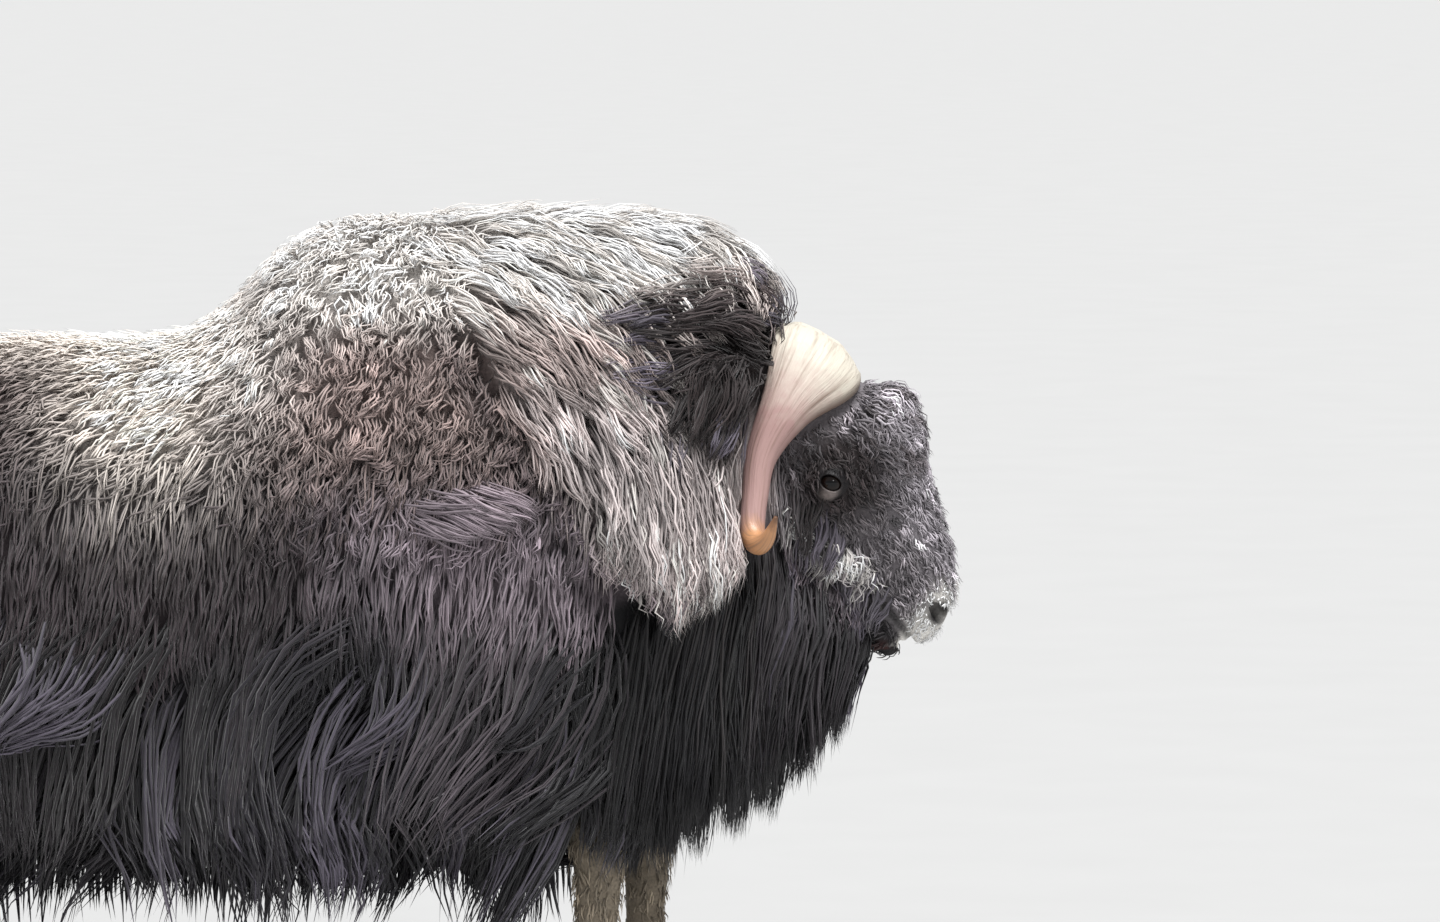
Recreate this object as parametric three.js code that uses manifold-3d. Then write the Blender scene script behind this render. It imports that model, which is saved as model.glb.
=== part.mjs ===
// A standing muskox at life size, in its full winter coat.
// Millimetres, +X towards the head, +Y to the animal's left, +Z up.
// The body is drawn from a few named stations, set about a point on the floor beside the right forefoot,
// and every part is then moved so that the origin is the middle of the whole, on the floor.
import * as THREE from "three";
import { mergeVertices } from "three/addons/utils/BufferGeometryUtils.js";
import Module from "manifold-3d";

const wasm = await Module();
wasm.setup();

// Driving dimensions
const HUMP_HEIGHT = 1366; // top of the hump's core, under its mane
const BACK_HEIGHT = 1172; // top of the pale saddle
const BELLY_HEIGHT = 450; // underside of the core, under its fringe
const BARREL_HALF_WIDTH = 345;
const SHOULDER_HALF_WIDTH = 322;
const HIND_FOOT_X = -1140;
const FORE_FOOT_Y = 165;
const HIND_FOOT_Y = 160;
const HOOF_HEIGHT = 74;
const HEAD_PITCH = (55 * Math.PI) / 180; // how far the face points down
const POLL = [300, 1080]; // x and z of the head's own origin
const EYE_ALONG = 152; // from the poll towards the nose
const EYE_ABOVE = -20; // from the head's axis towards the forehead
const EYE_SPREAD = 117; // from the middle plane
const EYE_RADIUS = 20;
const EAR_WALL = 8;
const HORN_SPREAD = 286; // from the middle plane to the tip
const BOSS_LEAN = (36 * Math.PI) / 180; // how far the boss slopes down over the brow
const GAP = 0.3; // between two parts that meet
const CLEAR = 0.5; // how far a part's socket is grown round it
const LOCK_SIDES = 3;
const SINK = 22; // how deep a lock's root sits in the body

const rad = (degrees) => (degrees * Math.PI) / 180;
const vec = (x, y, z) => new THREE.Vector3(x, y, z);

// A seeded draw between 0 and 1, so that every build is alike.
function seeded(seed) {
  let state = seed;
  return () => {
    state = (Math.imul(state, 1664525) + 1013904223) >>> 0;
    return state / 2 ** 32;
  };
}
const draw = seeded(20);
const about = (middle, spread) => middle + (draw() * 2 - 1) * spread;

// Solids

// A closed three.js geometry as a solid that can be joined and cut.
function solid(geometry) {
  const bare = geometry.index ? geometry.toNonIndexed() : geometry.clone();
  for (const name of Object.keys(bare.attributes)) {
    if (name !== "position") bare.deleteAttribute(name);
  }
  const merged = mergeVertices(bare, 1e-3);
  const vertProperties = merged.getAttribute("position").array;
  const triVerts = new Uint32Array(merged.index.array);
  const build = () => new wasm.Manifold(new wasm.Mesh({ numProp: 3, vertProperties, triVerts }));
  const made = build();
  if (made.volume() > 0) return made;
  for (let i = 0; i < triVerts.length; i += 3) {
    [triVerts[i + 1], triVerts[i + 2]] = [triVerts[i + 2], triVerts[i + 1]];
  }
  return build();
}

// A sphere's grid of vertices, each put where place(share along, angle round) says.
function skin(sides, rings, place) {
  const shape = new THREE.SphereGeometry(1, sides, rings);
  const spots = shape.getAttribute("position");
  for (let ring = 0; ring <= rings; ring++) {
    for (let side = 0; side <= sides; side++) {
      const p = place(ring / rings, ((side % sides) / sides) * 2 * Math.PI);
      spots.setXYZ(ring * (sides + 1) + side, p.x, p.y, p.z);
    }
  }
  return solid(shape);
}

function ellipsoid(centre, radii, turn = [0, 0, 0], sides = 10) {
  const shape = new THREE.SphereGeometry(1, sides, Math.round(sides * 0.6));
  shape.scale(...radii);
  shape.applyMatrix4(new THREE.Matrix4().makeRotationFromEuler(new THREE.Euler(...turn)));
  shape.translate(centre.x, centre.y, centre.z);
  return solid(shape);
}

// The largest closed surface of a solid: scraps and sealed hollows go.
function largest(made) {
  const bodies = made.decompose();
  return bodies.reduce((best, body) => (body.volume() > best.volume() ? body : best));
}

function geometryOf(made) {
  const mesh = made.getMesh();
  const spots = new Float32Array(mesh.numVert * 3);
  for (let i = 0; i < mesh.numVert; i++) {
    const start = i * mesh.numProp;
    spots.set(mesh.vertProperties.subarray(start, start + 3), i * 3);
  }
  const geometry = new THREE.BufferGeometry();
  geometry.setAttribute("position", new THREE.BufferAttribute(spots, 3));
  geometry.setIndex(new THREE.BufferAttribute(mesh.triVerts, 1));
  geometry.computeVertexNormals();
  return geometry;
}

// Lofts

// A smooth value between the entries of a list, at a share of its length.
function smooth(list, share) {
  const last = list.length - 1;
  const place = Math.min(Math.max(share, 0), 1) * last;
  const i = Math.min(Math.floor(place), last - 1);
  const u = place - i;
  const [a, b, c, d] = [i - 1, i, i + 1, i + 2].map((k) => list[Math.min(Math.max(k, 0), last)]);
  return b + 0.5 * u * (c - a + u * (2 * a - 5 * b + 4 * c - d + u * (3 * (b - c) + d - a)));
}

// A body that runs through flat sections. Each has a top and a bottom point in the XZ plane,
// a half width, where its widest place is between the two, and how boxy its lower half is.
class Loft {
  constructor(stations) {
    this.names = Object.keys(stations[0]);
    this.columns = Object.fromEntries(this.names.map((n) => [n, stations.map((s) => s[n])]));
  }
  at(share) {
    return Object.fromEntries(this.names.map((n) => [n, smooth(this.columns[n], share)]));
  }
  point(share, angle, grow = 0) {
    const s = this.at(share);
    const up = Math.cos(angle);
    const boxy = up < 0 ? s.boxy : 2;
    const bulge = (v) => Math.sign(v) * Math.abs(v) ** (2 / boxy);
    const rise = up < 0 ? s.wide * (1 + bulge(up)) : s.wide + (1 - s.wide) * up;
    const height = Math.hypot(s.topX - s.botX, s.topZ - s.botZ) || 1;
    const lift = rise + (grow / height) * (2 * rise - 1);
    return vec(
      s.botX + (s.topX - s.botX) * lift,
      s.midY + (s.half + grow) * bulge(Math.sin(angle)),
      s.botZ + (s.topZ - s.botZ) * lift,
    );
  }
  slopes(share, angle) {
    const step = 1e-3;
    const along = this.point(share + step, angle).sub(this.point(share - step, angle));
    const round = this.point(share, angle + step).sub(this.point(share, angle - step));
    return [along.divideScalar(2 * step), round.divideScalar(2 * step)];
  }
  normal(share, angle) {
    const [along, round] = this.slopes(share, angle);
    const out = along.cross(round).normalize();
    return out.dot(this.point(share, angle).sub(this.middle(share))) < 0 ? out.negate() : out;
  }
  // Where a step in a world direction leads, over the surface.
  slide(share, angle, way, length) {
    const [a, b] = this.slopes(share, angle);
    const [aa, ab, bb] = [a.dot(a), a.dot(b), b.dot(b)];
    const det = aa * bb - ab * ab || 1;
    const [wa, wb] = [way.dot(a), way.dot(b)];
    const da = (wa * bb - wb * ab) / det;
    const db = (wb * aa - wa * ab) / det;
    const moved = a.multiplyScalar(da).addScaledVector(b, db).length() || 1;
    return [share + (da * length) / moved, angle + (db * length) / moved];
  }
  // The share at which the sections' middles pass x.
  shareAt(x) {
    let [low, high] = [0.02, 0.98];
    for (let i = 0; i < 30; i++) {
      const middle = (low + high) / 2;
      const s = this.at(middle);
      if ((s.topX + s.botX) / 2 < x) low = middle;
      else high = middle;
    }
    return low;
  }
  middle(share) {
    const s = this.at(share);
    return vec((s.topX + s.botX) / 2, s.midY, (s.topZ + s.botZ) / 2);
  }
  // The closed body, whose first and last sections close to a point.
  solid(sides, rings, grow = 0) {
    return skin(sides, rings, (share, angle) => {
      if (share > 0 && share < 1) return this.point(share, angle, grow);
      const tip = this.middle(share);
      const outward = tip.clone().sub(this.middle(share ? 0.98 : 0.02)).normalize();
      return tip.addScaledVector(outward, grow);
    });
  }
}

const section = (topX, topZ, botX, botZ, half, wide = 0.5, boxy = 2, midY = 0) => ({
  topX,
  topZ,
  botX,
  botZ,
  half,
  wide,
  boxy,
  midY,
});
// A section that stands upright at x.
const upright = (x, top, bottom, half, wide = 0.42, boxy = 2.7) =>
  section(x, top, x, bottom, half, wide, boxy);

// The trunk, from the tail to the throat, in one run
const trunk = new Loft([
  upright(-1492, 790, 774, 1),
  upright(-1470, 990, 700, 120),
  upright(-1400, BACK_HEIGHT - 92, 540, 222),
  upright(-1270, BACK_HEIGHT - 30, 478, 292),
  upright(-1080, BACK_HEIGHT - 4, BELLY_HEIGHT + 8, 330),
  upright(-860, BACK_HEIGHT, BELLY_HEIGHT, BARREL_HALF_WIDTH),
  upright(-680, BACK_HEIGHT + 4, BELLY_HEIGHT - 4, BARREL_HALF_WIDTH + 4),
  upright(-570, HUMP_HEIGHT - 136, BELLY_HEIGHT - 6, BARREL_HALF_WIDTH + 2),
  upright(-480, HUMP_HEIGHT - 42, BELLY_HEIGHT - 8, BARREL_HALF_WIDTH - 5),
  upright(-370, HUMP_HEIGHT - 8, BELLY_HEIGHT - 10, 334),
  upright(-200, HUMP_HEIGHT, BELLY_HEIGHT - 8, SHOULDER_HALF_WIDTH),
  upright(-20, HUMP_HEIGHT, BELLY_HEIGHT + 4, 296),
  section(114, HUMP_HEIGHT - 6, 120, BELLY_HEIGHT + 40, 262, 0.45, 2.4),
  section(196, HUMP_HEIGHT - 34, 210, BELLY_HEIGHT + 90, 228, 0.48, 2.2),
  section(246, HUMP_HEIGHT - 88, 270, BELLY_HEIGHT + 170, 176, 0.5, 2),
  section(276, HUMP_HEIGHT - 164, 300, BELLY_HEIGHT + 270, 114, 0.5, 2),
  section(292, 966, 294, 952, 1, 0.5, 2),
]);

// The beard's core, from the chest up to the chin
const throat = new Loft([
  section(60, 640, 60, 610, 1, 0.5, 2),
  section(90, 760, 80, 505, 130, 0.5, 2),
  section(190, 820, 170, 520, 136, 0.5, 2),
  section(290, 850, 262, 570, 122, 0.5, 2),
  section(374, 800, 346, 622, 98, 0.5, 2),
  section(432, 724, 408, 652, 62, 0.5, 2),
  section(450, 690, 446, 682, 1, 0.5, 2),
]);

// The head, in its own axes: along the face from the poll, and above the axis
const faceWay = [Math.cos(HEAD_PITCH), -Math.sin(HEAD_PITCH)];
const browWay = [Math.sin(HEAD_PITCH), Math.cos(HEAD_PITCH)];
const onFace = (along, above, side = 0) =>
  vec(
    POLL[0] + along * faceWay[0] + above * browWay[0],
    side,
    POLL[1] + along * faceWay[1] + above * browWay[1],
  );
function faceSection(along, front, back, half, wide = 0.5, boxy = 2.2, slant = 0) {
  const top = onFace(along + slant, front);
  const bottom = onFace(along - slant, back);
  return section(top.x, top.z, bottom.x, bottom.z, half, wide, boxy);
}
const face = new Loft([
  faceSection(-104, 8, -8, 1),
  faceSection(-84, 52, -66, 66),
  faceSection(-30, 84, -112, 104),
  faceSection(40, 104, -136, 120),
  faceSection(110, 134, -142, 122, 0.52),
  faceSection(180, 122, -136, 108, 0.5),
  faceSection(250, 106, -126, 90, 0.48),
  faceSection(320, 89, -114, 78, 0.48),
  faceSection(375, 66, -100, 73, 0.5, 2.4),
  faceSection(420, 36, -84, 66, 0.52, 2.4),
  faceSection(446, 2, -62, 44, 0.52, 2.2),
  faceSection(456, -26, -34, 1),
]);
const chin = new Loft([
  faceSection(300, -92, -104, 1),
  faceSection(316, -76, -124, 34),
  faceSection(360, -72, -132, 48),
  faceSection(410, -74, -126, 46),
  faceSection(436, -80, -116, 32),
  faceSection(446, -92, -104, 1),
]);

// Locks

const LOCK_FULLNESS = [0, 0.82, 1, 0.9, 0.56, 0];
const LOCK_RISE = [0, 0.5, 0.85, 1, 1, 0.85];

// A flat lock that leaves the loft at a share and an angle, lies over it, and hangs where the body turns under.
function lock(loft, share, angle, shape) {
  const { length, width, thick, lift, rings, way, sway, curl } = shape;
  const step = length / rings;
  const spots = [];
  const outs = [];
  let [s, a] = [share, angle];
  let out = loft.normal(s, a);
  let spot = loft.point(s, a).addScaledVector(out, -SINK);
  let hanging = false;
  for (let i = 0; i <= rings; i++) {
    if (i > 0 && !hanging) {
      [s, a] = loft.slide(s, a, way, step);
      s = Math.min(Math.max(s, 0.01), 0.99);
      out = loft.normal(s, a);
      spot = loft.point(s, a).addScaledVector(out, lift * smooth(LOCK_RISE, i / rings));
      hanging = out.z < -0.12 && way.z < 0;
    } else if (i > 0) {
      out = vec(out.x, out.y, 0.2 * out.z).normalize();
      const fall = vec(way.x * 0.5 - out.x * 0.1, -out.y * 0.14, -1).normalize();
      spot = spot.clone().addScaledVector(fall, step);
    }
    spots.push(spot);
    outs.push(out.clone());
  }
  return skin(LOCK_SIDES, rings, (along, turn) => {
    const i = Math.round(along * rings);
    const run = spots[Math.min(i + 1, rings)].clone().sub(spots[Math.max(i - 1, 0)]);
    const across = run.clone().cross(outs[i]).normalize();
    const face = across.clone().cross(run).normalize();
    const full = i % rings ? smooth(LOCK_FULLNESS, along) : 0;
    const bend = sway * along * along + curl * Math.sin(along * 5);
    return spots[i]
      .clone()
      .addScaledVector(across, Math.sin(turn) * width * 0.5 * full + bend)
      .addScaledVector(face, Math.cos(turn) * thick * 0.5 * full);
  });
}

// Rows of locks on one loft, on both sides of it.
function locks(loft, rows) {
  const made = [];
  for (const row of rows) {
    const [first, last] = row.x ? row.x.map((x) => loft.shareAt(x)) : row.share;
    for (const side of [-1, 1]) {
      for (let i = 0; i < row.count; i++) {
        const place = (i + 0.5 + about(0, 0.12)) / row.count;
        const share = first + (last - first) * place;
        const angle = rad(Array.isArray(row.angle) ? smooth(row.angle, place) : row.angle);
        const length = Array.isArray(row.length) ? smooth(row.length, place) : row.length;
        const shape = {
          length: about(length, length * 0.08),
          width: about(row.width, row.width * 0.08),
          thick: row.thick ?? 16,
          lift: (row.lift ?? 14) + (i % 2) * 9,
          rings: row.rings ?? 4,
          way: vec(...row.way).normalize(),
          sway: about(0, row.sway ?? 24),
          curl: about(0, row.curl ?? 5),
        };
        made.push(lock(loft, share, side * (angle + rad(about(0, 2))), shape));
      }
    }
  }
  return made;
}

// A row of locks from one x to another: its angle down from the loft's top in degrees, how many locks,
// their length and width, and how far they trail back for each millimetre that they drop.
const row = (from, to, angle, count, length, width, back, more = {}) => ({
  x: [from, to],
  angle,
  count,
  length,
  width,
  way: [-back, 0, -1],
  ...more,
});
const TRAIL = [-0.3, 0, -1];
const fine = { thick: 14, sway: 14, lift: 10 };
const fringe = { rings: 5, sway: 36 };

const maneLocks = locks(trunk, [
  row(-400, 245, 8, 5, 230, 132, 0.6),
  row(-410, 215, 38, 6, 280, 142, 0.5, { lift: 16 }),
  row(-400, 205, 66, 6, 300, 142, 0.4),
  row(-360, 100, 92, 4, 300, 132, 0.3),
]);
const skirtLocks = locks(trunk, [
  row(-1370, -470, 62, 6, 290, 152, 0.25),
  row(-1420, -440, 86, 7, 340, 152, 0.25),
  row(-1430, -20, 104, 11, 430, 144, 0.25, fringe),
  row(0, 190, 102, 3, [410, 310], 120, 0.35, fringe),
  row(-1340, -80, 134, 5, 210, 144, 0.2),
  { share: [0.05, 0.07], angle: [50, 130], count: 2, length: [230, 330], width: 130, way: TRAIL },
]);
const throatLocks = locks(throat, [
  row(60, 330, 90, 4, [350, 230], 112, 0.3, fine),
  row(100, 440, 132, 5, [280, 125], 98, 0.35, fine),
  row(150, 430, 168, 2, [200, 95], 104, 0.35, fine),
]);
const browLocks = locks(face, [
  { share: [0.26, 0.28], angle: 12, count: 1, length: 120, width: 90, way: [0.5, 0, -0.6], lift: 24 },
  { share: [0.26, 0.3], angle: 38, count: 1, length: 110, width: 84, way: [0.5, 0, -0.7], lift: 20 },
]);
const cheekLocks = locks(face, [
  { share: [0.24, 0.62], angle: 112, count: 3, length: 160, width: 92, way: TRAIL, ...fine },
]);
const chinLocks = locks(chin, [
  { share: [0.5, 0.7], angle: 140, count: 1, length: 90, width: 64, way: TRAIL, ...fine },
]);
const allLocks = [maneLocks, skirtLocks, throatLocks, browLocks, cheekLocks, chinLocks].flat();

// Horns, ears, eyes

// A round or flattened bar along a smooth path. Each entry has a place, a width and a depth.
function bar(entries, sides, rings, grow = 0, lean = 0) {
  const path = new THREE.CatmullRomCurve3(entries.map((e) => e.spot));
  const across = entries.map((e) => e.across);
  const deep = entries.map((e) => e.deep);
  return skin(sides, rings, (along, turn) => {
    const inner = Math.min(Math.max(along, 0.001), 0.999);
    const run = path.getTangent(inner);
    const flat = vec(Math.cos(lean), 0, -Math.sin(lean));
    flat.addScaledVector(run, -run.dot(flat)).normalize();
    const face = run.clone().cross(flat);
    const reach = along === 0 || along === 1 ? 0 : 1;
    const end = along === 0 ? -grow : along === 1 ? grow : 0;
    return path
      .getPoint(along)
      .addScaledVector(run, end)
      .addScaledVector(flat, reach * (smooth(across, along) + grow) * Math.cos(turn))
      .addScaledVector(face, reach * (smooth(deep, along) + grow) * Math.sin(turn));
  });
}

const hornEntry = (x, y, z, across, deep) => ({ spot: vec(x, y, z), across, deep });
function horn(side, grow = 0) {
  return bar(
    [
      hornEntry(352, side * 6, 1124, 72, 34),
      hornEntry(350, side * 38, 1134, 80, 40),
      hornEntry(340, side * 92, 1120, 76, 38),
      hornEntry(299, side * 139, 1064, 44, 32),
      hornEntry(261, side * 168, 992, 26, 25),
      hornEntry(250, side * 192, 926, 21, 21),
      hornEntry(246, side * 216, 876, 20, 20),
      hornEntry(254, side * 244, 856, 18, 17),
      hornEntry(270, side * 268, 868, 12, 12),
      hornEntry(283, side * HORN_SPREAD, 902, 3, 3),
    ],
    8,
    14,
    grow,
    BOSS_LEAN,
  );
}

// A leaf-shaped cup that opens forward and outward.
function ear(side, grow = 0) {
  const root = vec(258, side * 132, 1102);
  const tip = vec(184, side * 292, 1136);
  const run = tip.clone().sub(root);
  const opening = vec(0.8, side * 0.3, -0.35).normalize();
  const across = run.clone().cross(opening).normalize();
  const back = across.clone().cross(run).normalize();
  if (back.dot(opening) > 0) back.negate();
  const halfWidths = [4, 20, 28, 33, 31, 22, 3];
  const cups = [4, 14, 22, 26, 22, 14, 3];
  const way = run.clone().normalize();
  return skin(10, 7, (along, turn) => {
    if (along === 0) return root.clone().addScaledVector(way, -grow);
    if (along === 1) return tip.clone().addScaledVector(way, grow);
    const cup = smooth(cups, along);
    const outer = Math.sin(turn) * (cup + 2 * grow);
    const inner = Math.sin(turn) * (grow ? 2 * grow : Math.min(EAR_WALL, cup * 0.5) - cup);
    return root
      .clone()
      .addScaledVector(run, along)
      .addScaledVector(across, (smooth(halfWidths, along) + grow) * Math.cos(turn))
      .addScaledVector(back, Math.sin(turn) > -1e-9 ? outer : inner);
  });
}

const eyeSpot = (side) => onFace(EYE_ALONG, EYE_ABOVE, side * EYE_SPREAD);
const eye = (side, grow = 0) =>
  ellipsoid(eyeSpot(side), [EYE_RADIUS + grow, EYE_RADIUS + grow, EYE_RADIUS + grow]);

// The bony rim of the eye with both lids, open in an almond along the face.
function lids(side) {
  const middle = eyeSpot(side);
  const rim = ellipsoid(onFace(EYE_ALONG - 6, EYE_ABOVE, side * (EYE_SPREAD - 26)), [46, 44, 42]);
  const lid = ellipsoid(middle, [EYE_RADIUS + 5, EYE_RADIUS + 5, EYE_RADIUS + 5]);
  const almond = ellipsoid(
    middle.clone().add(vec(0, side * (EYE_RADIUS + 4), 0)),
    [18, 14, 10.5],
    [0, HEAD_PITCH - rad(22), 0],
  );
  return [rim, lid, almond];
}

// The muzzle's openings: nostrils and the line of the mouth
function nostril(side) {
  return ellipsoid(onFace(436, 8, side * 37), [13, 16, 9], [0, rad(35), side * rad(-40)], 8);
}
function mouthLine() {
  const plate = new THREE.BoxGeometry(130, 170, 5);
  plate.rotateY(HEAD_PITCH + rad(6));
  const middle = onFace(400, -70);
  plate.translate(middle.x, middle.y, middle.z);
  return solid(plate).subtract(face.solid(12, 12, -11));
}
const upperLip = ellipsoid(onFace(428, -38), [30, 52, 30]);

// Legs and hooves

// A level section of a leg, with how far it reaches before and behind x.
const level = (z, x, before, behind, half, y) => section(x + before, z, x - behind, z, half, 0.5, 2.2, y);
const foreLeg = (side, x) =>
  new Loft([
    level(628, x - 10, 3, 3, 1, side * (FORE_FOOT_Y - 8)),
    level(606, x - 10, 66, 72, 54, side * (FORE_FOOT_Y - 8)),
    level(500, x - 8, 66, 74, 58, side * (FORE_FOOT_Y - 4)),
    level(410, x - 2, 52, 56, 48, side * FORE_FOOT_Y),
    level(345, x, 50, 44, 45, side * FORE_FOOT_Y),
    level(290, x, 42, 40, 40, side * FORE_FOOT_Y),
    level(190, x, 35, 37, 35, side * FORE_FOOT_Y),
    level(132, x + 2, 40, 45, 41, side * FORE_FOOT_Y),
    level(100, x + 8, 46, 42, 46, side * FORE_FOOT_Y),
    level(HOOF_HEIGHT - 6, x + 16, 44, 46, 46, side * FORE_FOOT_Y),
    level(HOOF_HEIGHT - 10, x + 16, 3, 3, 1, side * FORE_FOOT_Y),
  ]);
const hindLeg = (side, x) =>
  new Loft([
    level(640, x + 40, 3, 3, 1, side * (HIND_FOOT_Y - 4)),
    level(616, x + 38, 100, 96, 62, side * (HIND_FOOT_Y - 4)),
    level(520, x + 10, 88, 82, 58, side * (HIND_FOOT_Y - 2)),
    level(450, x - 24, 62, 62, 48, side * HIND_FOOT_Y),
    level(395, x - 44, 50, 52, 41, side * HIND_FOOT_Y),
    level(330, x - 40, 42, 42, 38, side * HIND_FOOT_Y),
    level(220, x - 22, 37, 36, 35, side * HIND_FOOT_Y),
    level(140, x - 8, 39, 44, 39, side * HIND_FOOT_Y),
    level(100, x, 44, 40, 43, side * HIND_FOOT_Y),
    level(HOOF_HEIGHT - 6, x + 8, 42, 44, 44, side * HIND_FOOT_Y),
    level(HOOF_HEIGHT - 10, x + 8, 3, 3, 1, side * HIND_FOOT_Y),
  ]);

// Two rounded claws with flat soles, joined under the coronet, and two dewclaws behind.
// A claw's rings sit at its six sections, so that its sole is flat.
const CLAW = [8, 5];
function hoof(x, y, long) {
  const claw = (side) =>
    new Loft([
      level(0, x + 8, 3, 3, 1, y + side * 30),
      level(0, x + 8, long * 0.56, long * 0.4, 25, y + side * 30),
      level(22, x + 4, long * 0.55, long * 0.42, 27.5, y + side * 29.5),
      level(52, x - 2, long * 0.4, long * 0.4, 25, y + side * 27),
      level(HOOF_HEIGHT - 9, x + 4, 34, 40, 18, y + side * 22),
      level(HOOF_HEIGHT - 6, x + 4, 3, 3, 1, y + side * 22),
    ]);
  const coronet = new Loft([
    level(30, x, 3, 3, 1, y),
    level(38, x, 30, 34, 20, y),
    level(60, x + 4, 42, 46, 45, y),
    level(HOOF_HEIGHT + 8, x + 6, 42, 44, 44, y),
    level(HOOF_HEIGHT + 12, x + 6, 3, 3, 1, y),
  ]);
  const dewclaw = (side) => ellipsoid(vec(x - 46, y + side * 24, 58), [14, 10, 17], [0, 0, 0], 6);
  const claws = [claw(-1), claw(1)].map((loft) => loft.solid(...CLAW));
  return wasm.Manifold.union([...claws, coronet.solid(8, 4), dewclaw(-1), dewclaw(1)]);
}

// The tail, short and hidden in the coat
const tail = (grow = 0) =>
  bar(
    [
      { spot: vec(-1452, 0, 985), across: 26, deep: 30 },
      { spot: vec(-1488, 0, 960), across: 26, deep: 32 },
      { spot: vec(-1508, 0, 915), across: 22, deep: 28 },
      { spot: vec(-1514, 0, 865), across: 16, deep: 20 },
      { spot: vec(-1512, 0, 826), across: 5, deep: 6 },
    ],
    8,
    6,
    grow,
  );

// Putting it together

const sides = [
  [-1, "right"],
  [1, "left"],
];
const FORE_X = { right: 0, left: 74 };
const HIND_X = { right: HIND_FOOT_X, left: HIND_FOOT_X - 90 };
const legs = sides.flatMap(([side, name]) => [
  {
    name: `foreleg_${name}`,
    foot: `fore_hoof_${name}`,
    loft: foreLeg(side, FORE_X[name]),
    x: FORE_X[name] + 14,
    y: side * FORE_FOOT_Y,
    long: 122,
  },
  {
    name: `hind_leg_${name}`,
    foot: `hind_hoof_${name}`,
    loft: hindLeg(side, HIND_X[name]),
    x: HIND_X[name] + 6,
    y: side * HIND_FOOT_Y,
    long: 112,
  },
]);
const SHANK = [10, 12];

function coatedBody() {
  const flesh = [trunk.solid(24, 26), face.solid(18, 16), chin.solid(8, 6), throat.solid(10, 7), upperLip];
  const cuts = [];
  for (const [side] of sides) {
    const [rim, lid, almond] = lids(side);
    flesh.push(rim, lid);
    cuts.push(almond, eye(side, CLEAR), horn(side, CLEAR), ear(side, CLEAR), nostril(side));
  }
  cuts.push(mouthLine(), tail(CLEAR));
  for (const leg of legs) cuts.push(leg.loft.solid(...SHANK, CLEAR + 0.3));
  const whole = wasm.Manifold.union([...flesh, ...allLocks]);
  return whole.subtract(wasm.Manifold.union(cuts));
}

// Upright or leaning planes that part the body: the side that the normal points to is the part before it.
function plane(normal, point) {
  const n = vec(...normal).normalize();
  return { n: [n.x, n.y, n.z], back: [-n.x, -n.y, -n.z], offset: n.dot(vec(...point)) };
}
const rumpPlane = plane([1, 0, 0], [-1075, 0, 0]);
const humpPlane = plane([1, 0, 0], [-508, 0, 0]);
const neckPlane = plane([1050, 0, 320], [-60, 0, 875]);
const headPlane = plane([700, 0, 90], [262, 0, 900]);
const before = (made, p) => made.trimByPlane(p.n, p.offset + GAP / 2);
const behind = (made, p) => made.trimByPlane(p.back, -p.offset + GAP / 2);

const parts = [];
const add = (name, made, finish) => parts.push({ name, geometry: geometryOf(largest(made)), finish });
const finish = (color, roughness) => new THREE.MeshStandardMaterial({ color, roughness, metalness: 0 });
const saddleCoat = finish(0xb3a496, 0.95);
const darkCoat = finish(0x4a4145, 0.95);
const maneCoat = finish(0x8a7d78, 0.95);
const paleLegs = finish(0xa39a88, 0.95);
const hornFinish = finish(0xe6dfc8, 0.5);
const hoofFinish = finish(0x35302c, 0.6);
const eyeFinish = finish(0x150f0c, 0.1);

const body = coatedBody();
add("rump", behind(body, rumpPlane), darkCoat);
add("barrel", behind(before(body, rumpPlane), humpPlane), saddleCoat);
add("shoulders", behind(before(body, humpPlane), neckPlane), maneCoat);
add("neck", behind(before(body, neckPlane), headPlane), maneCoat);
add("head", before(body, headPlane), darkCoat);
for (const [side, name] of sides) {
  add(`horn_${name}`, horn(side), hornFinish);
  add(`ear_${name}`, ear(side), maneCoat);
  add(`eye_${name}`, eye(side), eyeFinish);
}
for (const leg of legs) {
  const cut = plane([0, 0, 1], [0, 0, HOOF_HEIGHT]);
  add(leg.name, before(leg.loft.solid(...SHANK), cut), paleLegs);
  add(leg.foot, behind(hoof(leg.x, leg.y, leg.long), cut), hoofFinish);
}
add("tail", tail(), darkCoat);

// Vertices that end up in one place are merged, and a scrap that this cuts loose goes.
function settled(geometry) {
  let made = solid(geometry);
  while (made.decompose().length > 1) made = solid(geometryOf(largest(made)));
  return geometryOf(made);
}

const box = new THREE.Box3();
for (const { geometry } of parts) {
  geometry.computeBoundingBox();
  box.union(geometry.boundingBox);
}
const middle = box.getCenter(vec(0, 0, 0));
const muskox = new THREE.Group();
for (const { name, geometry, finish } of parts) {
  geometry.translate(-middle.x, -middle.y, -box.min.z);
  const mesh = new THREE.Mesh(settled(geometry), finish);
  mesh.name = name;
  muskox.add(mesh);
}

export default muskox;
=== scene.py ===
import math

import bmesh
import bpy
import numpy as np
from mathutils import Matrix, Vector
from mathutils.bvhtree import BVHTree
from mathutils.kdtree import KDTree


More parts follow.
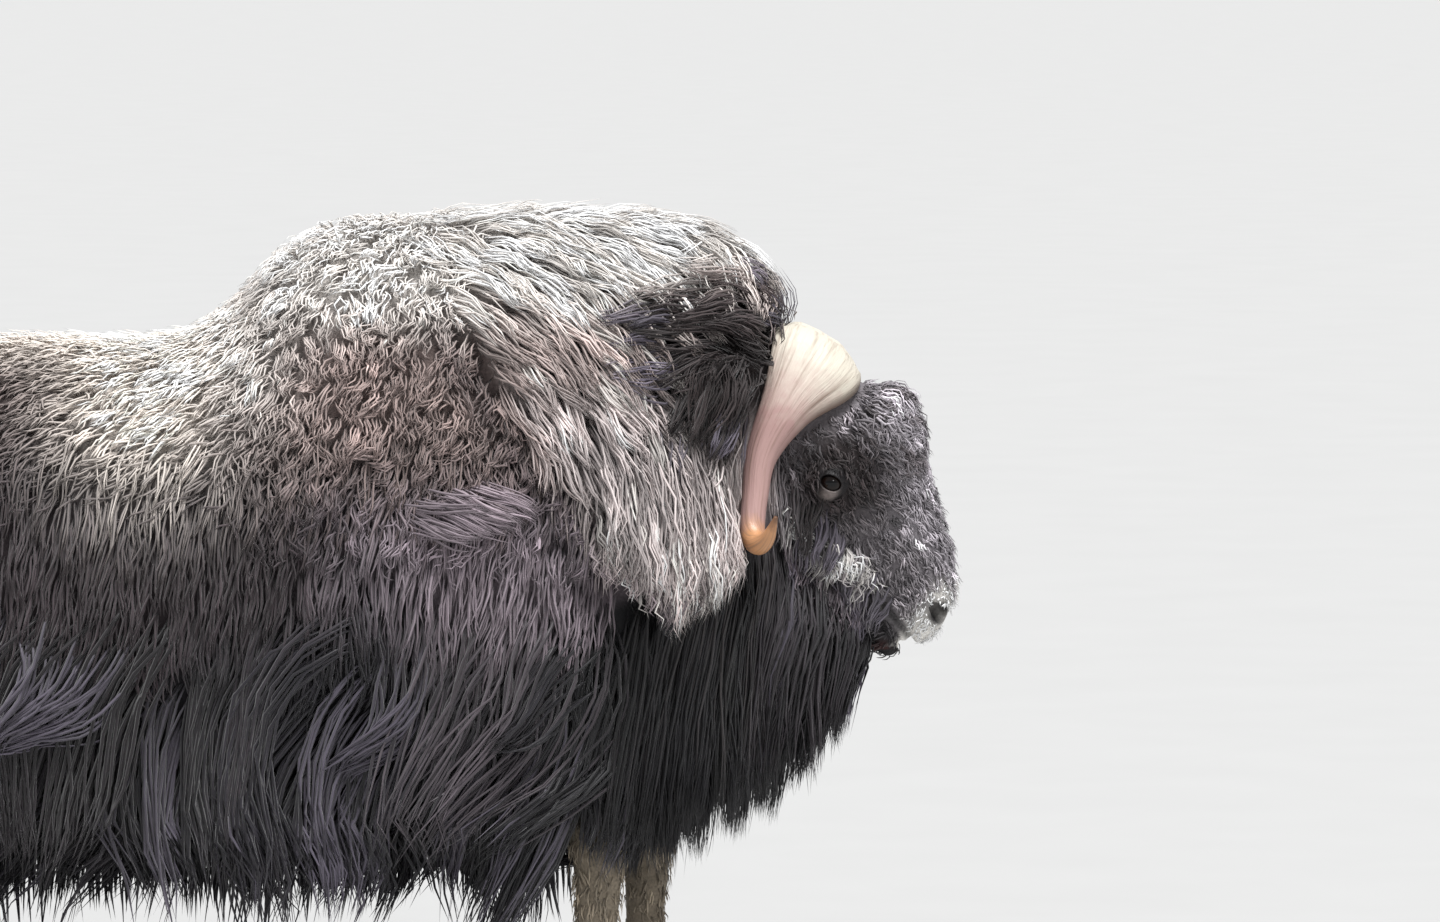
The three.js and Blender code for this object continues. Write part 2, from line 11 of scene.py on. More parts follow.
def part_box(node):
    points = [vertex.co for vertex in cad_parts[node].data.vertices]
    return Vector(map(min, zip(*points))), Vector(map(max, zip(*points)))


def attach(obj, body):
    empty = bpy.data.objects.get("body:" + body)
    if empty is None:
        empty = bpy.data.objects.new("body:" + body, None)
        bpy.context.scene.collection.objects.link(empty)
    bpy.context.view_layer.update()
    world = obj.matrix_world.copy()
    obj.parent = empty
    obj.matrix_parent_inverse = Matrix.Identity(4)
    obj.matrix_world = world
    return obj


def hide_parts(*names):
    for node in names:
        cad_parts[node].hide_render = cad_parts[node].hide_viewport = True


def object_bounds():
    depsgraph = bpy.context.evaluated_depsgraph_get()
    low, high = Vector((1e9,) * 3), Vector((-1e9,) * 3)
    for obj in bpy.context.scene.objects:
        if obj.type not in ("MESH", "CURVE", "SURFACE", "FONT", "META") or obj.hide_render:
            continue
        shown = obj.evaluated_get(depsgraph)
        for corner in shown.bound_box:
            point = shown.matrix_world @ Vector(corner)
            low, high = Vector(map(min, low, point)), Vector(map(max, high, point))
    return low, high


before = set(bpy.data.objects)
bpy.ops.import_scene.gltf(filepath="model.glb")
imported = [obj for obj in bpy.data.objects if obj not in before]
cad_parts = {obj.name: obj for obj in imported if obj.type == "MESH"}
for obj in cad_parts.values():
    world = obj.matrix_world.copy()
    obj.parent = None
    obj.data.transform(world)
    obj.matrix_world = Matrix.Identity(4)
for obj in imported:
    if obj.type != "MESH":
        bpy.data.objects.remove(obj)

bl_info = {
    "name": "Muskox",
    "version": (1, 0, 0),
    "blender": (4, 5, 0),
    "location": "3D View > Sidebar > Muskox",
    "description": "Builds the skin, horns, hooves, eyes and winter coat of a standing muskox",
    "category": "Object",
}

CAD_BOX = [list(corner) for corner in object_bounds()]
SIDES = ((-1, "right"), (1, "left"))
TURN = 2 * math.pi

# Places are written in metres about a point on the floor, midway between the two sides and
# level with the right forefoot. START is where that point stands in the frame.
HEAD_PITCH = math.radians(55)
POLL = (0.300, 1.080)

# Places on the head, in its own axes: along the face, above its axis, and to the side
EYE = (0.152, -0.020, 0.117)
EYE_RADIUS = 0.020
NOSTRIL = (0.427, 0.000, 0.050)

# The lips' line, along the face and above its axis
MOUTH = [(0.312, -0.086), (0.345, -0.070), (0.385, -0.064), (0.420, -0.062), (0.462, -0.066)]


def on_face(along, above, side=0.0):
    """A place in the head's own axes: along the face from the poll, and above its axis."""
    x = POLL[0] + along * math.cos(HEAD_PITCH) + above * math.sin(HEAD_PITCH)
    z = POLL[1] - along * math.sin(HEAD_PITCH) + above * math.cos(HEAD_PITCH)
    return np.array([x, side, z])


def find_start():
    """Finds the point on the floor from the place of the right eye in the frame."""
    low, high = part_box("eye_right")
    middle = (np.array(low) + np.array(high)) / 2
    return middle - on_face(EYE[0], EYE[1], -EYE[2])


START = find_start()


# Sizes and colours


def linear(red, green, blue):
    """A screen colour, 0 to 255, as Blender's own linear values."""

    def one(v):
        v /= 255
        return v / 12.92 if v <= 0.04045 else ((v + 0.055) / 1.055) ** 2.4

    return (one(red), one(green), one(blue))


def length(name, text, default):
    return bpy.props.FloatProperty(
        name=name, description=text, default=default, min=0, unit="LENGTH", subtype="DISTANCE"
    )


def colour(name, text, *screen):
    return bpy.props.FloatVectorProperty(
        name=name, description=text, default=linear(*screen), size=3, min=0, max=1, subtype="COLOR"
    )


class MuskoxSizes(bpy.types.PropertyGroup):
    hump_height: length("Hump height", "Top of the hump under its mane", 1.366)
    back_height: length("Back height", "Top of the saddle", 1.172)
    belly_height: length("Belly height", "Underside of the body under its fringe", 0.450)
    barrel_half: length("Barrel half width", "Half the width of the barrel", 0.345)
    shoulder_half: length("Shoulder half width", "Half the width of the shoulders", 0.322)
    coat_depth: length("Coat depth", "How deep the skin lies under the body's wool", 0.024)
    face_depth: length("Face coat depth", "How deep the skin lies under the face's hair", 0.004)
    strand_width: length("Strand width", "Width of a strand of the body's wool", 0.0040)
    fullness: bpy.props.FloatProperty(
        name="Fullness", description="Share of the full number of strands", default=1, min=0.05, max=2
    )
    seed: bpy.props.IntProperty(name="Seed", description="Start of every random draw", default=20)


class MuskoxColours(bpy.types.PropertyGroup):
    saddle: colour("Saddle", "Pale patch on the back", 248, 238, 228)
    back: colour("Back", "Back behind the saddle", 128, 109, 105)
    flank: colour("Flank", "Sides below the saddle", 61, 51, 55)
    hump: colour("Hump", "Curled wool of the hump", 160, 141, 136)
    # Painted sunlight: the rim colour stands for the sun on the top of the hump and the mane, and is also
    # laid on pale clumps of the mane and the lobe
    rim: colour("Hump's top", "Pale wool along the top of the hump", 250, 244, 238)
    mane: colour("Mane", "Mane over the neck", 188, 171, 166)
    lobe: colour("Lobe", "Pale wool that hangs behind the horn", 200, 189, 187)
    tuft: colour("Tuft", "Dark hair round the ear", 54, 45, 45)
    shoulder: colour("Shoulder", "Lower shoulder", 146, 133, 141)
    skirt: colour("Skirt", "Long hair of the sides", 29, 26, 33)
    # Painted sheen: mauve-grey locks that stand for the light that the dark long hair reflects
    sheen: colour("Sheen", "Paler locks of the long hair", 98, 92, 105)
    beard: colour("Beard", "Hair under the throat", 17, 16, 20)
    face: colour("Face", "Short hair of the face", 132, 126, 130)
    brow: colour("Brow", "Wool pad over the brow", 176, 170, 176)
    nose: colour("Nose", "Pale skin and hair round the nostril and lips", 250, 246, 240)
    legs: colour("Legs", "Short hair of the legs", 162, 149, 130)
    horn_base: colour("Boss", "Horn over the brow", 212, 205, 190)
    horn_middle: colour("Horn", "Middle of the horn", 176, 142, 137)
    horn_tip: colour("Horn tip", "Turned-up end of the horn", 196, 144, 102)
    hoof: colour("Hoof", "Hooves", 50, 44, 40)


def sizes():
    return bpy.context.scene.muskox_sizes


def colours():
    return bpy.context.scene.muskox_colours


# Shader sums


class Wire:
    """The output of a node. Sums on it add Math nodes."""

    def __init__(self, finish, socket):
        self.finish = finish
        self.socket = socket

    def sum(self, operation, first, second):
        return self.finish.node("ShaderNodeMath", {"operation": operation}, {0: first, 1: second})

    def __add__(self, other):
        return self.sum("ADD", self, other)

    def __sub__(self, other):
        return self.sum("SUBTRACT", self, other)

    def __rsub__(self, other):
        return self.sum("SUBTRACT", other, self)

    def __mul__(self, other):
        return self.sum("MULTIPLY", self, other)


class Finish:
    """A material, and the one way in which its nodes are made."""

    def __init__(self, name):
        self.material = bpy.data.materials.new(name)
        self.material.use_nodes = True
        self.tree = self.material.node_tree
        self.tree.nodes.clear()

    def node(self, kind, settings=None, inputs=None, output=0):
        made = self.tree.nodes.new(kind)
        for name, value in (settings or {}).items():
            if name == "stops":
                self.set_stops(made.color_ramp, value)
            else:
                setattr(made, name, value)
        for name, value in (inputs or {}).items():
            if isinstance(value, Wire):
                self.tree.links.new(value.socket, made.inputs[name])
            else:
                made.inputs[name].default_value = value
        return Wire(self, made.outputs[output]) if made.outputs else None

    def set_stops(self, ramp, stops):
        while len(ramp.elements) < len(stops):
            ramp.elements.new(0.5)
        for element, (place, value) in zip(ramp.elements, stops):
            element.position = place
            element.color = (*value, 1)

    def mix(self, factor, first, second, blend="MIX"):
        return self.node(
            "ShaderNodeMix",
            {"data_type": "RGBA", "blend_type": blend},
            {0: factor, 6: full(first), 7: full(second)},
            output=2,
        )

    def shaded(self, tint, shade):
        """A colour made darker or paler by one value."""
        grey = self.node("ShaderNodeCombineColor", None, {0: shade, 1: shade, 2: shade})
        return self.mix(1.0, tint, grey, "MULTIPLY")

    def ramp(self, place, stops):
        return self.node("ShaderNodeValToRGB", {"stops": stops}, {0: place})

    def attribute(self, name, output=0):
        return self.node("ShaderNodeAttribute", {"attribute_name": name}, output=output)

    def noise(self, scale, detail=3, vector=None, roughness=0.5):
        inputs = {"Scale": scale, "Detail": detail, "Roughness": roughness}
        inputs["Vector"] = vector or self.node("ShaderNodeTexCoord", output=3)
        return self.node("ShaderNodeTexNoise", None, inputs)

    def range(self, value, low, high, to_low=0.0, to_high=1.0):
        inputs = {0: value, 1: low, 2: high, 3: to_low, 4: to_high}
        return self.node("ShaderNodeMapRange", {"clamp": True}, inputs)

    def bump(self, height, strength, distance):
        return self.node(
            "ShaderNodeBump", None, {"Height": height, "Strength": strength, "Distance": distance}
        )

    def close(self, **sockets):
        """Ends the material in one Principled shader."""
        inputs = {name.replace("_", " "): value for name, value in sockets.items()}
        shader = self.node("ShaderNodeBsdfPrincipled", None, inputs)
        self.node("ShaderNodeOutputMaterial", None, {"Surface": shader})
        return self.material


def full(value):
    """A colour with its fourth value, or a wire as it is."""
    return value if isinstance(value, Wire) or len(value) == 4 else (*value, 1)


def coat_finish(name, roughness, sheen):
    """Hair: the marking's colour with painted shade towards the root, and fine streaks along each strand.
    """
    made = Finish(name)
    tint = made.attribute("Tint")
    strand = made.attribute("Strand", output=1)
    stretched = made.node(
        "ShaderNodeVectorMath", {"operation": "MULTIPLY"}, {0: strand, 1: (4.0, 15.0, 40.0)}
    )
    streak = made.noise(1.0, 2, stretched)
    patch = made.noise(9.0, 3)
    shade = made.range(streak, 0.32, 0.68, 0.76, 1.20) * made.range(patch, 0.3, 0.7, 0.84, 1.14)
    return made.close(
        Base_Color=made.shaded(tint, shade),
        Roughness=made.range(streak, 0.2, 0.8, roughness - 0.08, roughness + 0.08),
        Sheen_Weight=sheen,
        Sheen_Roughness=0.4,
        Normal=made.bump(streak, 0.20, 0.002),
    )


def skin_finish():
    """The skin under the coat, with the same markings and the nap of short hair."""
    made = Finish("skin")
    tint = made.attribute("Tint")
    bare = made.attribute("Bare", output=2)
    nap = made.noise(220.0, 4)
    pores = made.node("ShaderNodeTexVoronoi", None, {"Scale": 420.0})
    shade = made.range(nap, 0.3, 0.7, 0.7, 1.15)
    height = nap * (1 - bare) + pores * bare * 0.4
    return made.close(
        Base_Color=made.shaded(tint, shade),
        Roughness=made.range(bare, 0.0, 1.0, 0.86, 0.48),
        Normal=made.bump(height, 0.6, 0.004),
    )


def horn_finish():
    """Horn: a coarse pale boss that turns smooth, then amber towards the tip."""
    made = Finish("horn")
    paint = colours()
    along = made.attribute("Along", output=2)
    grain = made.attribute("Grain", output=1)
    fibre = made.noise(1.0, 4, grain, 0.65)
    spot = made.noise(60.0, 3)
    place = along + (spot - 0.5) * 0.10
    stops = [
        (0.0, paint.horn_base),
        (0.22, paint.horn_base),
        (0.38, paint.horn_middle),
        (0.62, paint.horn_middle),
        (0.72, paint.horn_tip),
        (0.93, paint.horn_tip),
        (1.0, linear(84, 58, 44)),
    ]
    tone = made.ramp(place, stops)
    dirt = made.range(fibre, 0.50, 0.72, 0.0, 0.65)
    rim = made.node("ShaderNodeSeparateXYZ", None, {0: grain}, output=0)
    edge = made.range(rim, 3.9, 4.8, 0.0, 0.75) * made.range(along, 0.30, 0.48, 1.0, 0.0)
    rough = made.range(along, 0.25, 0.7, 0.62, 0.34)
    strength = made.range(along, 0.2, 0.75, 1.0, 0.15)
    return made.close(
        Base_Color=made.mix(edge, made.mix(dirt, tone, linear(124, 100, 84)), linear(96, 74, 62)),
        Roughness=rough + (fibre - 0.5) * 0.2,
        Normal=made.bump(fibre * strength, 0.7, 0.006),
    )


def hoof_finish():
    """Hoof: dark horn with growth rings, worn paler at its edge."""
    made = Finish("hoof")
    paint = colours()
    place = made.node("ShaderNodeTexCoord", output=3)
    height = made.node("ShaderNodeSeparateXYZ", None, {0: place}, output=2)
    wobble = made.noise(22.0, 3)
    rings = made.node(
        "ShaderNodeMath", {"operation": "SINE"}, {0: height * 780.0 + wobble * 6.0}
    )
    scratch = made.noise(140.0, 5)
    tone = made.mix(made.range(rings, -1, 1, 0.1, 0.5), paint.hoof, linear(92, 82, 72))
    worn = made.range(height + (wobble - 0.5) * 0.02, 0.002, 0.016, 0.7, 0.0)
    return made.close(
        Base_Color=made.mix(worn, tone, linear(138, 126, 110)),
        Roughness=made.range(scratch, 0.3, 0.7, 0.42, 0.66),
        Normal=made.bump(rings * 0.5 + scratch, 0.5, 0.0015),
    )


def eye_finish():
    """A dark wet eye with a level pupil."""
    made = Finish("eye")
    ring = made.attribute("Iris", output=2)
    flecks = made.noise(300.0, 4)
    place = ring + (flecks - 0.5) * 0.05
    stops = [
        (0.0, linear(4, 4, 6)),
        (0.30, linear(6, 5, 6)),
        (0.40, linear(20, 13, 10)),
        (0.70, linear(26, 17, 13)),
        (0.84, linear(9, 7, 7)),
        (1.0, linear(24, 20, 20)),
    ]
    return made.close(
        Base_Color=made.ramp(place, stops),
        Roughness=made.range(flecks, 0.3, 0.7, 0.05, 0.09),
        Specular_IOR_Level=0.30,
        Coat_Weight=0.0,
    )


def ground_finish():
    """A plain pale floor."""
    made = Finish("floor")
    grain = made.noise(3.0, 4)
    return made.close(
        Base_Color=made.mix(grain, (0.45, 0.45, 0.445), (0.48, 0.48, 0.475)), Roughness=0.9
    )


# Bodies that run through sections


def smooth(rows, share):
    """Smooth values between the rows of a table, at shares of its length."""
    rows = np.asarray(rows, float)
    last = len(rows) - 1
    place = np.clip(np.asarray(share, float), 0, 1) * last
    i = np.minimum(place.astype(int), last - 1)
    u = (place - i).reshape(place.shape + (1,) * (rows.ndim - 1))
    a, b, c, d = (rows[np.clip(k, 0, last)] for k in (i - 1, i, i + 1, i + 2))
    return b + 0.5 * u * (c - a + u * (2 * a - 5 * b + 4 * c - d + u * (3 * (b - c) + d - a)))


def section(top_x, top_z, low_x, low_z, half, wide=0.5, boxy=2.0, mid_y=0.0):
    """Its top, its bottom, its half width, how high up that is, and how boxy its lower half is."""
    return (top_x, top_z, low_x, low_z, half, wide, boxy, mid_y)


def upright(x, top, low, half, wide=0.42, boxy=2.7):
    return section(x, top, x, low, half, wide, boxy)


class Loft:
    """A body that runs through flat sections, each with a top, a bottom and a half width."""

    def __init__(self, stations):
        self.stations = np.array(stations, float)

    def points(self, share, angle, grow=0.0):
        s = smooth(self.stations, share)
        top, low = s[..., 0:2], s[..., 2:4]
        half, wide, boxy, mid = s[..., 4], s[..., 5], s[..., 6], s[..., 7]
        up = np.cos(angle)
        power = 2 / np.where(up < 0, boxy, 2)

        def bulge(v):
            return np.sign(v) * np.abs(v) ** power

        rise = np.where(up < 0, wide * (1 + bulge(up)), wide + (1 - wide) * up)
        height = np.maximum(np.linalg.norm(top - low, axis=-1), 1e-6)
        lift = rise + grow / height * (2 * rise - 1)
        across = mid + np.maximum(half + grow, 0.0005) * bulge(np.sin(angle))
        flat = low + (top - low) * lift[..., None]
        return np.stack([flat[..., 0], across, flat[..., 1]], -1)

    def build(self, shape, sides, rings, grow=0.0, ends=(0.012, 0.988)):
        """Adds the closed body to a bmesh: a ring at each place along it, bridged to the next."""
        loops = []
        angles = turns_of(sides)
        for share in np.linspace(*ends, rings):
            loops.append(ring(shape, self.points(np.full(sides, share), angles, grow)))
        bridge(shape, loops)


def turns_of(sides):
    """Equal steps round a circle."""
    return np.arange(sides) / sides * 2 * math.pi


def ring(shape, places):
    """Adds a closed ring of vertices at the places."""
    loop = bmesh.ops.create_circle(shape, segments=len(places), radius=1)["verts"]
    for vert, place in zip(loop, places):
        vert.co = place + START
    return loop


def bridge(shape, loops):
    """Joins rings of vertices one to the next and closes both ends."""
    for first, second in zip(loops, loops[1:]):
        edges = {e for v in (*first, *second) for e in v.link_edges}
        both = set(first) | set(second)
        kept = [e for e in edges if set(e.verts) <= both and is_ring(e, first, second)]
        bmesh.ops.bridge_loops(shape, edges=kept)
    for loop in (loops[0], loops[-1]):
        bmesh.ops.contextual_create(shape, geom=loop)


def is_ring(edge, first, second):
    a, b = edge.verts
    return (a in first and b in first) or (a in second and b in second)


def trunk_loft():
    """The body from the rump to the front of the neck, under its coat."""
    size = sizes()
    hump, back, belly = size.hump_height, size.back_height, size.belly_height
    barrel, shoulder = size.barrel_half, size.shoulder_half
    return Loft(
        [
            upright(-1.492, 0.790, 0.774, 0.001),
            upright(-1.470, 0.990, 0.700, 0.120),
            upright(-1.400, back - 0.092, 0.540, 0.222),
            upright(-1.270, back - 0.030, 0.478, 0.292),
            upright(-1.080, back - 0.004, belly + 0.008, 0.330),
            upright(-0.860, back, belly, barrel),
            upright(-0.680, back + 0.004, belly - 0.004, barrel + 0.004),
            upright(-0.570, hump - 0.136, belly - 0.006, barrel + 0.002),
            upright(-0.480, hump - 0.042, belly - 0.008, barrel - 0.005),
            upright(-0.370, hump - 0.008, belly - 0.010, 0.334),
            upright(-0.200, hump, belly - 0.008, shoulder),
            upright(-0.020, hump, belly + 0.004, 0.296),
            section(0.114, hump - 0.006, 0.120, belly + 0.040, 0.262, 0.45, 2.4),
            section(0.196, hump - 0.034, 0.210, belly + 0.090, 0.228, 0.48, 2.2),
            section(0.246, hump - 0.088, 0.270, belly + 0.170, 0.176, 0.5, 2),
            section(0.276, hump - 0.164, 0.300, belly + 0.270, 0.114, 0.5, 2),
            section(0.292, 0.966, 0.294, 0.952, 0.001, 0.5, 2),
        ]
    )


# The neck's underside, which hangs in front of the forelegs
THROAT = Loft(
    [
        section(0.060, 0.640, 0.060, 0.610, 0.001),
        section(0.090, 0.760, 0.080, 0.505, 0.130),
        section(0.190, 0.820, 0.170, 0.520, 0.136),
        section(0.290, 0.850, 0.262, 0.570, 0.122),
        section(0.374, 0.800, 0.346, 0.622, 0.098),
        section(0.432, 0.724, 0.408, 0.652, 0.062),
        section(0.450, 0.690, 0.446, 0.682, 0.001),
    ]
)

# Along the face, its front, its back, its half width, where that is widest, and how boxy it is
FACE_ROWS = [
    (-0.104, 0.008, -0.008, 0.001, 0.5, 2.2),
    (-0.084, 0.052, -0.066, 0.066, 0.5, 2.2),
    (-0.030, 0.084, -0.112, 0.104, 0.5, 2.2),
    (0.040, 0.104, -0.136, 0.120, 0.5, 2.2),
    (0.110, 0.134, -0.142, 0.122, 0.52, 2.2),
    (0.180, 0.122, -0.136, 0.108, 0.5, 2.2),
    (0.250, 0.106, -0.126, 0.090, 0.48, 2.2),
    (0.320, 0.089, -0.114, 0.078, 0.48, 2.2),
    (0.375, 0.066, -0.100, 0.073, 0.5, 2.4),
    (0.420, 0.036, -0.084, 0.066, 0.52, 2.4),
    (0.446, 0.002, -0.062, 0.044, 0.52, 2.2),
    (0.456, -0.026, -0.034, 0.001, 0.5, 2.2),
]
CHIN_ROWS = [
    (0.300, -0.092, -0.104, 0.001, 0.5, 2.2),
    (0.316, -0.076, -0.124, 0.034, 0.5, 2.2),
    (0.360, -0.072, -0.132, 0.048, 0.5, 2.2),
    (0.410, -0.074, -0.126, 0.046, 0.5, 2.2),
    (0.436, -0.080, -0.116, 0.032, 0.5, 2.2),
    (0.446, -0.092, -0.104, 0.001, 0.5, 2.2),
]


def face_loft(rows):
    """A loft through rows written in the head's own axes."""
    stations = []
    for along, front, back, half, wide, boxy in rows:
        top, low = on_face(along, front), on_face(along, back)
        stations.append(section(top[0], top[2], low[0], low[2], half, wide, boxy))
    return Loft(stations)


def level(z, x, before, behind, half, y):
    """A level section of a leg, with how far it reaches before and behind x."""
    return section(x + before, z, x - behind, z, half, 0.5, 2.2, y)


# Where the feet stand
FORE_X = {"right": 0.0, "left": 0.074}
HIND_X = {"right": -1.140, "left": -1.230}
FORE_Y, HIND_Y = 0.165, 0.160


def fore_leg(side, x):
    y = side * FORE_Y
    return Loft(
        [
            level(0.628, x - 0.010, 0.003, 0.003, 0.001, y - side * 0.008),
            level(0.606, x - 0.010, 0.066, 0.072, 0.054, y - side * 0.008),
            level(0.500, x - 0.008, 0.066, 0.074, 0.058, y - side * 0.004),
            level(0.410, x - 0.002, 0.052, 0.056, 0.048, y),
            level(0.345, x, 0.050, 0.044, 0.045, y),
            level(0.290, x, 0.042, 0.040, 0.040, y),
            level(0.190, x, 0.035, 0.037, 0.035, y),
            level(0.132, x + 0.002, 0.040, 0.045, 0.041, y),
            level(0.100, x + 0.008, 0.046, 0.042, 0.046, y),
            level(0.068, x + 0.016, 0.044, 0.046, 0.046, y),
            level(0.064, x + 0.016, 0.003, 0.003, 0.001, y),
        ]
    )


def hind_leg(side, x):
    y = side * HIND_Y
    return Loft(
        [
            level(0.640, x + 0.040, 0.003, 0.003, 0.001, y - side * 0.004),
            level(0.616, x + 0.038, 0.100, 0.096, 0.062, y - side * 0.004),
            level(0.520, x + 0.010, 0.088, 0.082, 0.058, y - side * 0.002),
            level(0.450, x - 0.024, 0.062, 0.062, 0.048, y),
            level(0.395, x - 0.044, 0.050, 0.052, 0.041, y),
            level(0.330, x - 0.040, 0.042, 0.042, 0.038, y),
            level(0.220, x - 0.022, 0.037, 0.036, 0.035, y),
            level(0.140, x - 0.008, 0.039, 0.044, 0.039, y),
            level(0.100, x, 0.044, 0.040, 0.043, y),
            level(0.068, x + 0.008, 0.042, 0.044, 0.044, y),
            level(0.064, x + 0.008, 0.003, 0.003, 0.001, y),
        ]
    )


def ball(shape, centre, radii, turn=0.0, detail=24):
    """Adds a stretched ball, turned about the y axis."""
    made = bmesh.ops.create_uvsphere(shape, u_segments=detail, v_segments=detail // 2, radius=1)
    c, s = math.cos(turn), math.sin(turn)
    for vert in made["verts"]:
        x, y, z = (vert.co[i] * radii[i] for i in range(3))
        vert.co = Vector((x * c + z * s, y, z * c - x * s)) + Vector(centre + START)
    return made["verts"]


# Meshes and objects


def link(name, mesh, material, rides=True):
    """Adds a finished object to the scene, on the body and with the slot of its material."""
    piece = bpy.data.objects.new(name, mesh)
    bpy.context.scene.collection.objects.link(piece)
    mesh.materials.clear()
    mesh.materials.append(material)
    mesh.polygons.foreach_set("use_smooth", np.ones(len(mesh.polygons), bool))
    if rides:
        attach(piece, "root")
    return piece


def to_mesh(name, shape):
    bmesh.ops.recalc_face_normals(shape, faces=shape.faces)
    mesh = bpy.data.meshes.new(name)
    shape.to_mesh(mesh)
    shape.free()
    return mesh


def scratch(mesh):
    """An object for modifiers that are applied at once."""
    made = bpy.data.objects.new("scratch", mesh)
    bpy.context.scene.collection.objects.link(made)
    return made


def settle(holder):
    """The mesh that a scratch object's modifiers leave. The object goes."""
    bpy.context.view_layer.update()
    graph = bpy.context.evaluated_depsgraph_get()
    mesh = bpy.data.meshes.new_from_object(holder.evaluated_get(graph))
    bpy.data.objects.remove(holder)
    return mesh


def remeshed(mesh, voxel, smooth_rounds):
    """One closed skin round everything in the mesh."""
    holder = scratch(mesh)
    remesh = holder.modifiers.new("remesh", "REMESH")
    remesh.mode = "VOXEL"
    remesh.voxel_size = voxel
    soften = holder.modifiers.new("soften", "SMOOTH")
    soften.iterations = smooth_rounds
    return settle(holder)


def joined(first, second, operation):
    holder, other = scratch(first), scratch(second)
    cut = holder.modifiers.new("join", "BOOLEAN")
    cut.operation = operation
    cut.solver = "MANIFOLD"
    cut.object = other
    made = settle(holder)
    bpy.data.objects.remove(other)
    return made


def places_of(mesh):
    spots = np.empty(len(mesh.vertices) * 3, np.float32)
    mesh.vertices.foreach_get("co", spots)
    return spots.reshape(-1, 3).astype(float)


def move_to(mesh, spots):
    mesh.vertices.foreach_set("co", np.asarray(spots, np.float32).ravel())
    mesh.update()


def normals_of(mesh):
    normals = np.empty(len(mesh.vertices) * 3, np.float32)
    mesh.vertices.foreach_get("normal", normals)
    return normals.reshape(-1, 3).astype(float)


def store(mesh, name, kind, values):
    made = mesh.attributes.new(name, kind, "POINT")
    field = {"FLOAT": "value", "FLOAT_VECTOR": "vector", "FLOAT_COLOR": "color"}[kind]
    made.data.foreach_set(field, np.asarray(values, np.float32).ravel())


def ease(value, low, high):
    """0 below low, 1 above high, and smooth between."""
    t = np.clip((value - low) / (high - low), 0, 1)
    return t * t * (3 - 2 * t)


def within(value, low, high, soft):
    return ease(value, low - soft, low + soft) * (1 - ease(value, high - soft, high + soft))


def near(spots, centre, radius):
    return np.exp(-(np.linalg.norm(spots - centre, axis=1) ** 2) / radius**2)


def folded(own):
    """Places in the head's own axes, with the right side laid on the left."""
    return np.stack([own[:, 0], own[:, 1], np.abs(own[:, 2])], 1)


def head_axes(spots):
    """Places in the head's own axes: along the face, above its axis, and to the side."""
    x = spots[:, 0] - START[0] - POLL[0]
    z = spots[:, 2] - START[2] - POLL[1]
    along = x * math.cos(HEAD_PITCH) - z * math.sin(HEAD_PITCH)
    above = x * math.sin(HEAD_PITCH) + z * math.cos(HEAD_PITCH)
    return np.stack([along, above, spots[:, 1] - START[1]], 1)


def face_reach(spots):
    """How far out a place lies in the face's section there: 1 is on the face."""
    own = head_axes(spots)
    rows = np.array(FACE_ROWS)
    front, back, half = (np.interp(own[:, 0], rows[:, 0], rows[:, i]) for i in (1, 2, 3))
    up = (own[:, 1] - (front + back) / 2) / np.maximum((front - back) / 2, 0.01)
    reach = np.hypot(up, own[:, 2] / np.maximum(half, 0.01))
    return reach * (1 - 0.4 * near(folded(own), np.array(EYE), 0.075)), own


def mouth_line(along):
    return np.interp(along, *zip(*MOUTH))


# The horn's middle line in x, y and z, with half its depth and half its thickness there
HORN_ENTRIES = [
    (0.352, 0.006, 1.124, 0.072, 0.034),
    (0.350, 0.038, 1.134, 0.080, 0.040),
    (0.340, 0.092, 1.120, 0.076, 0.038),
    (0.299, 0.139, 1.064, 0.044, 0.032),
    (0.261, 0.168, 0.992, 0.026, 0.025),
    (0.250, 0.192, 0.926, 0.021, 0.021),
    (0.246, 0.216, 0.876, 0.020, 0.020),
    (0.254, 0.244, 0.856, 0.018, 0.017),
    (0.270, 0.268, 0.868, 0.012, 0.012),
    (0.283, 0.286, 0.902, 0.003, 0.003),
]
BOSS_LEAN = math.radians(36)


def boss_lean():
    """The way in which the horn's depth is measured."""
    return np.array([math.cos(BOSS_LEAN), 0, -math.sin(BOSS_LEAN)])


# Skin

# The size of the grid on which each body is made into one closed skin
BODY_VOXEL, HEAD_VOXEL, HOOF_VOXEL = 0.0105, 0.0042, 0.0026


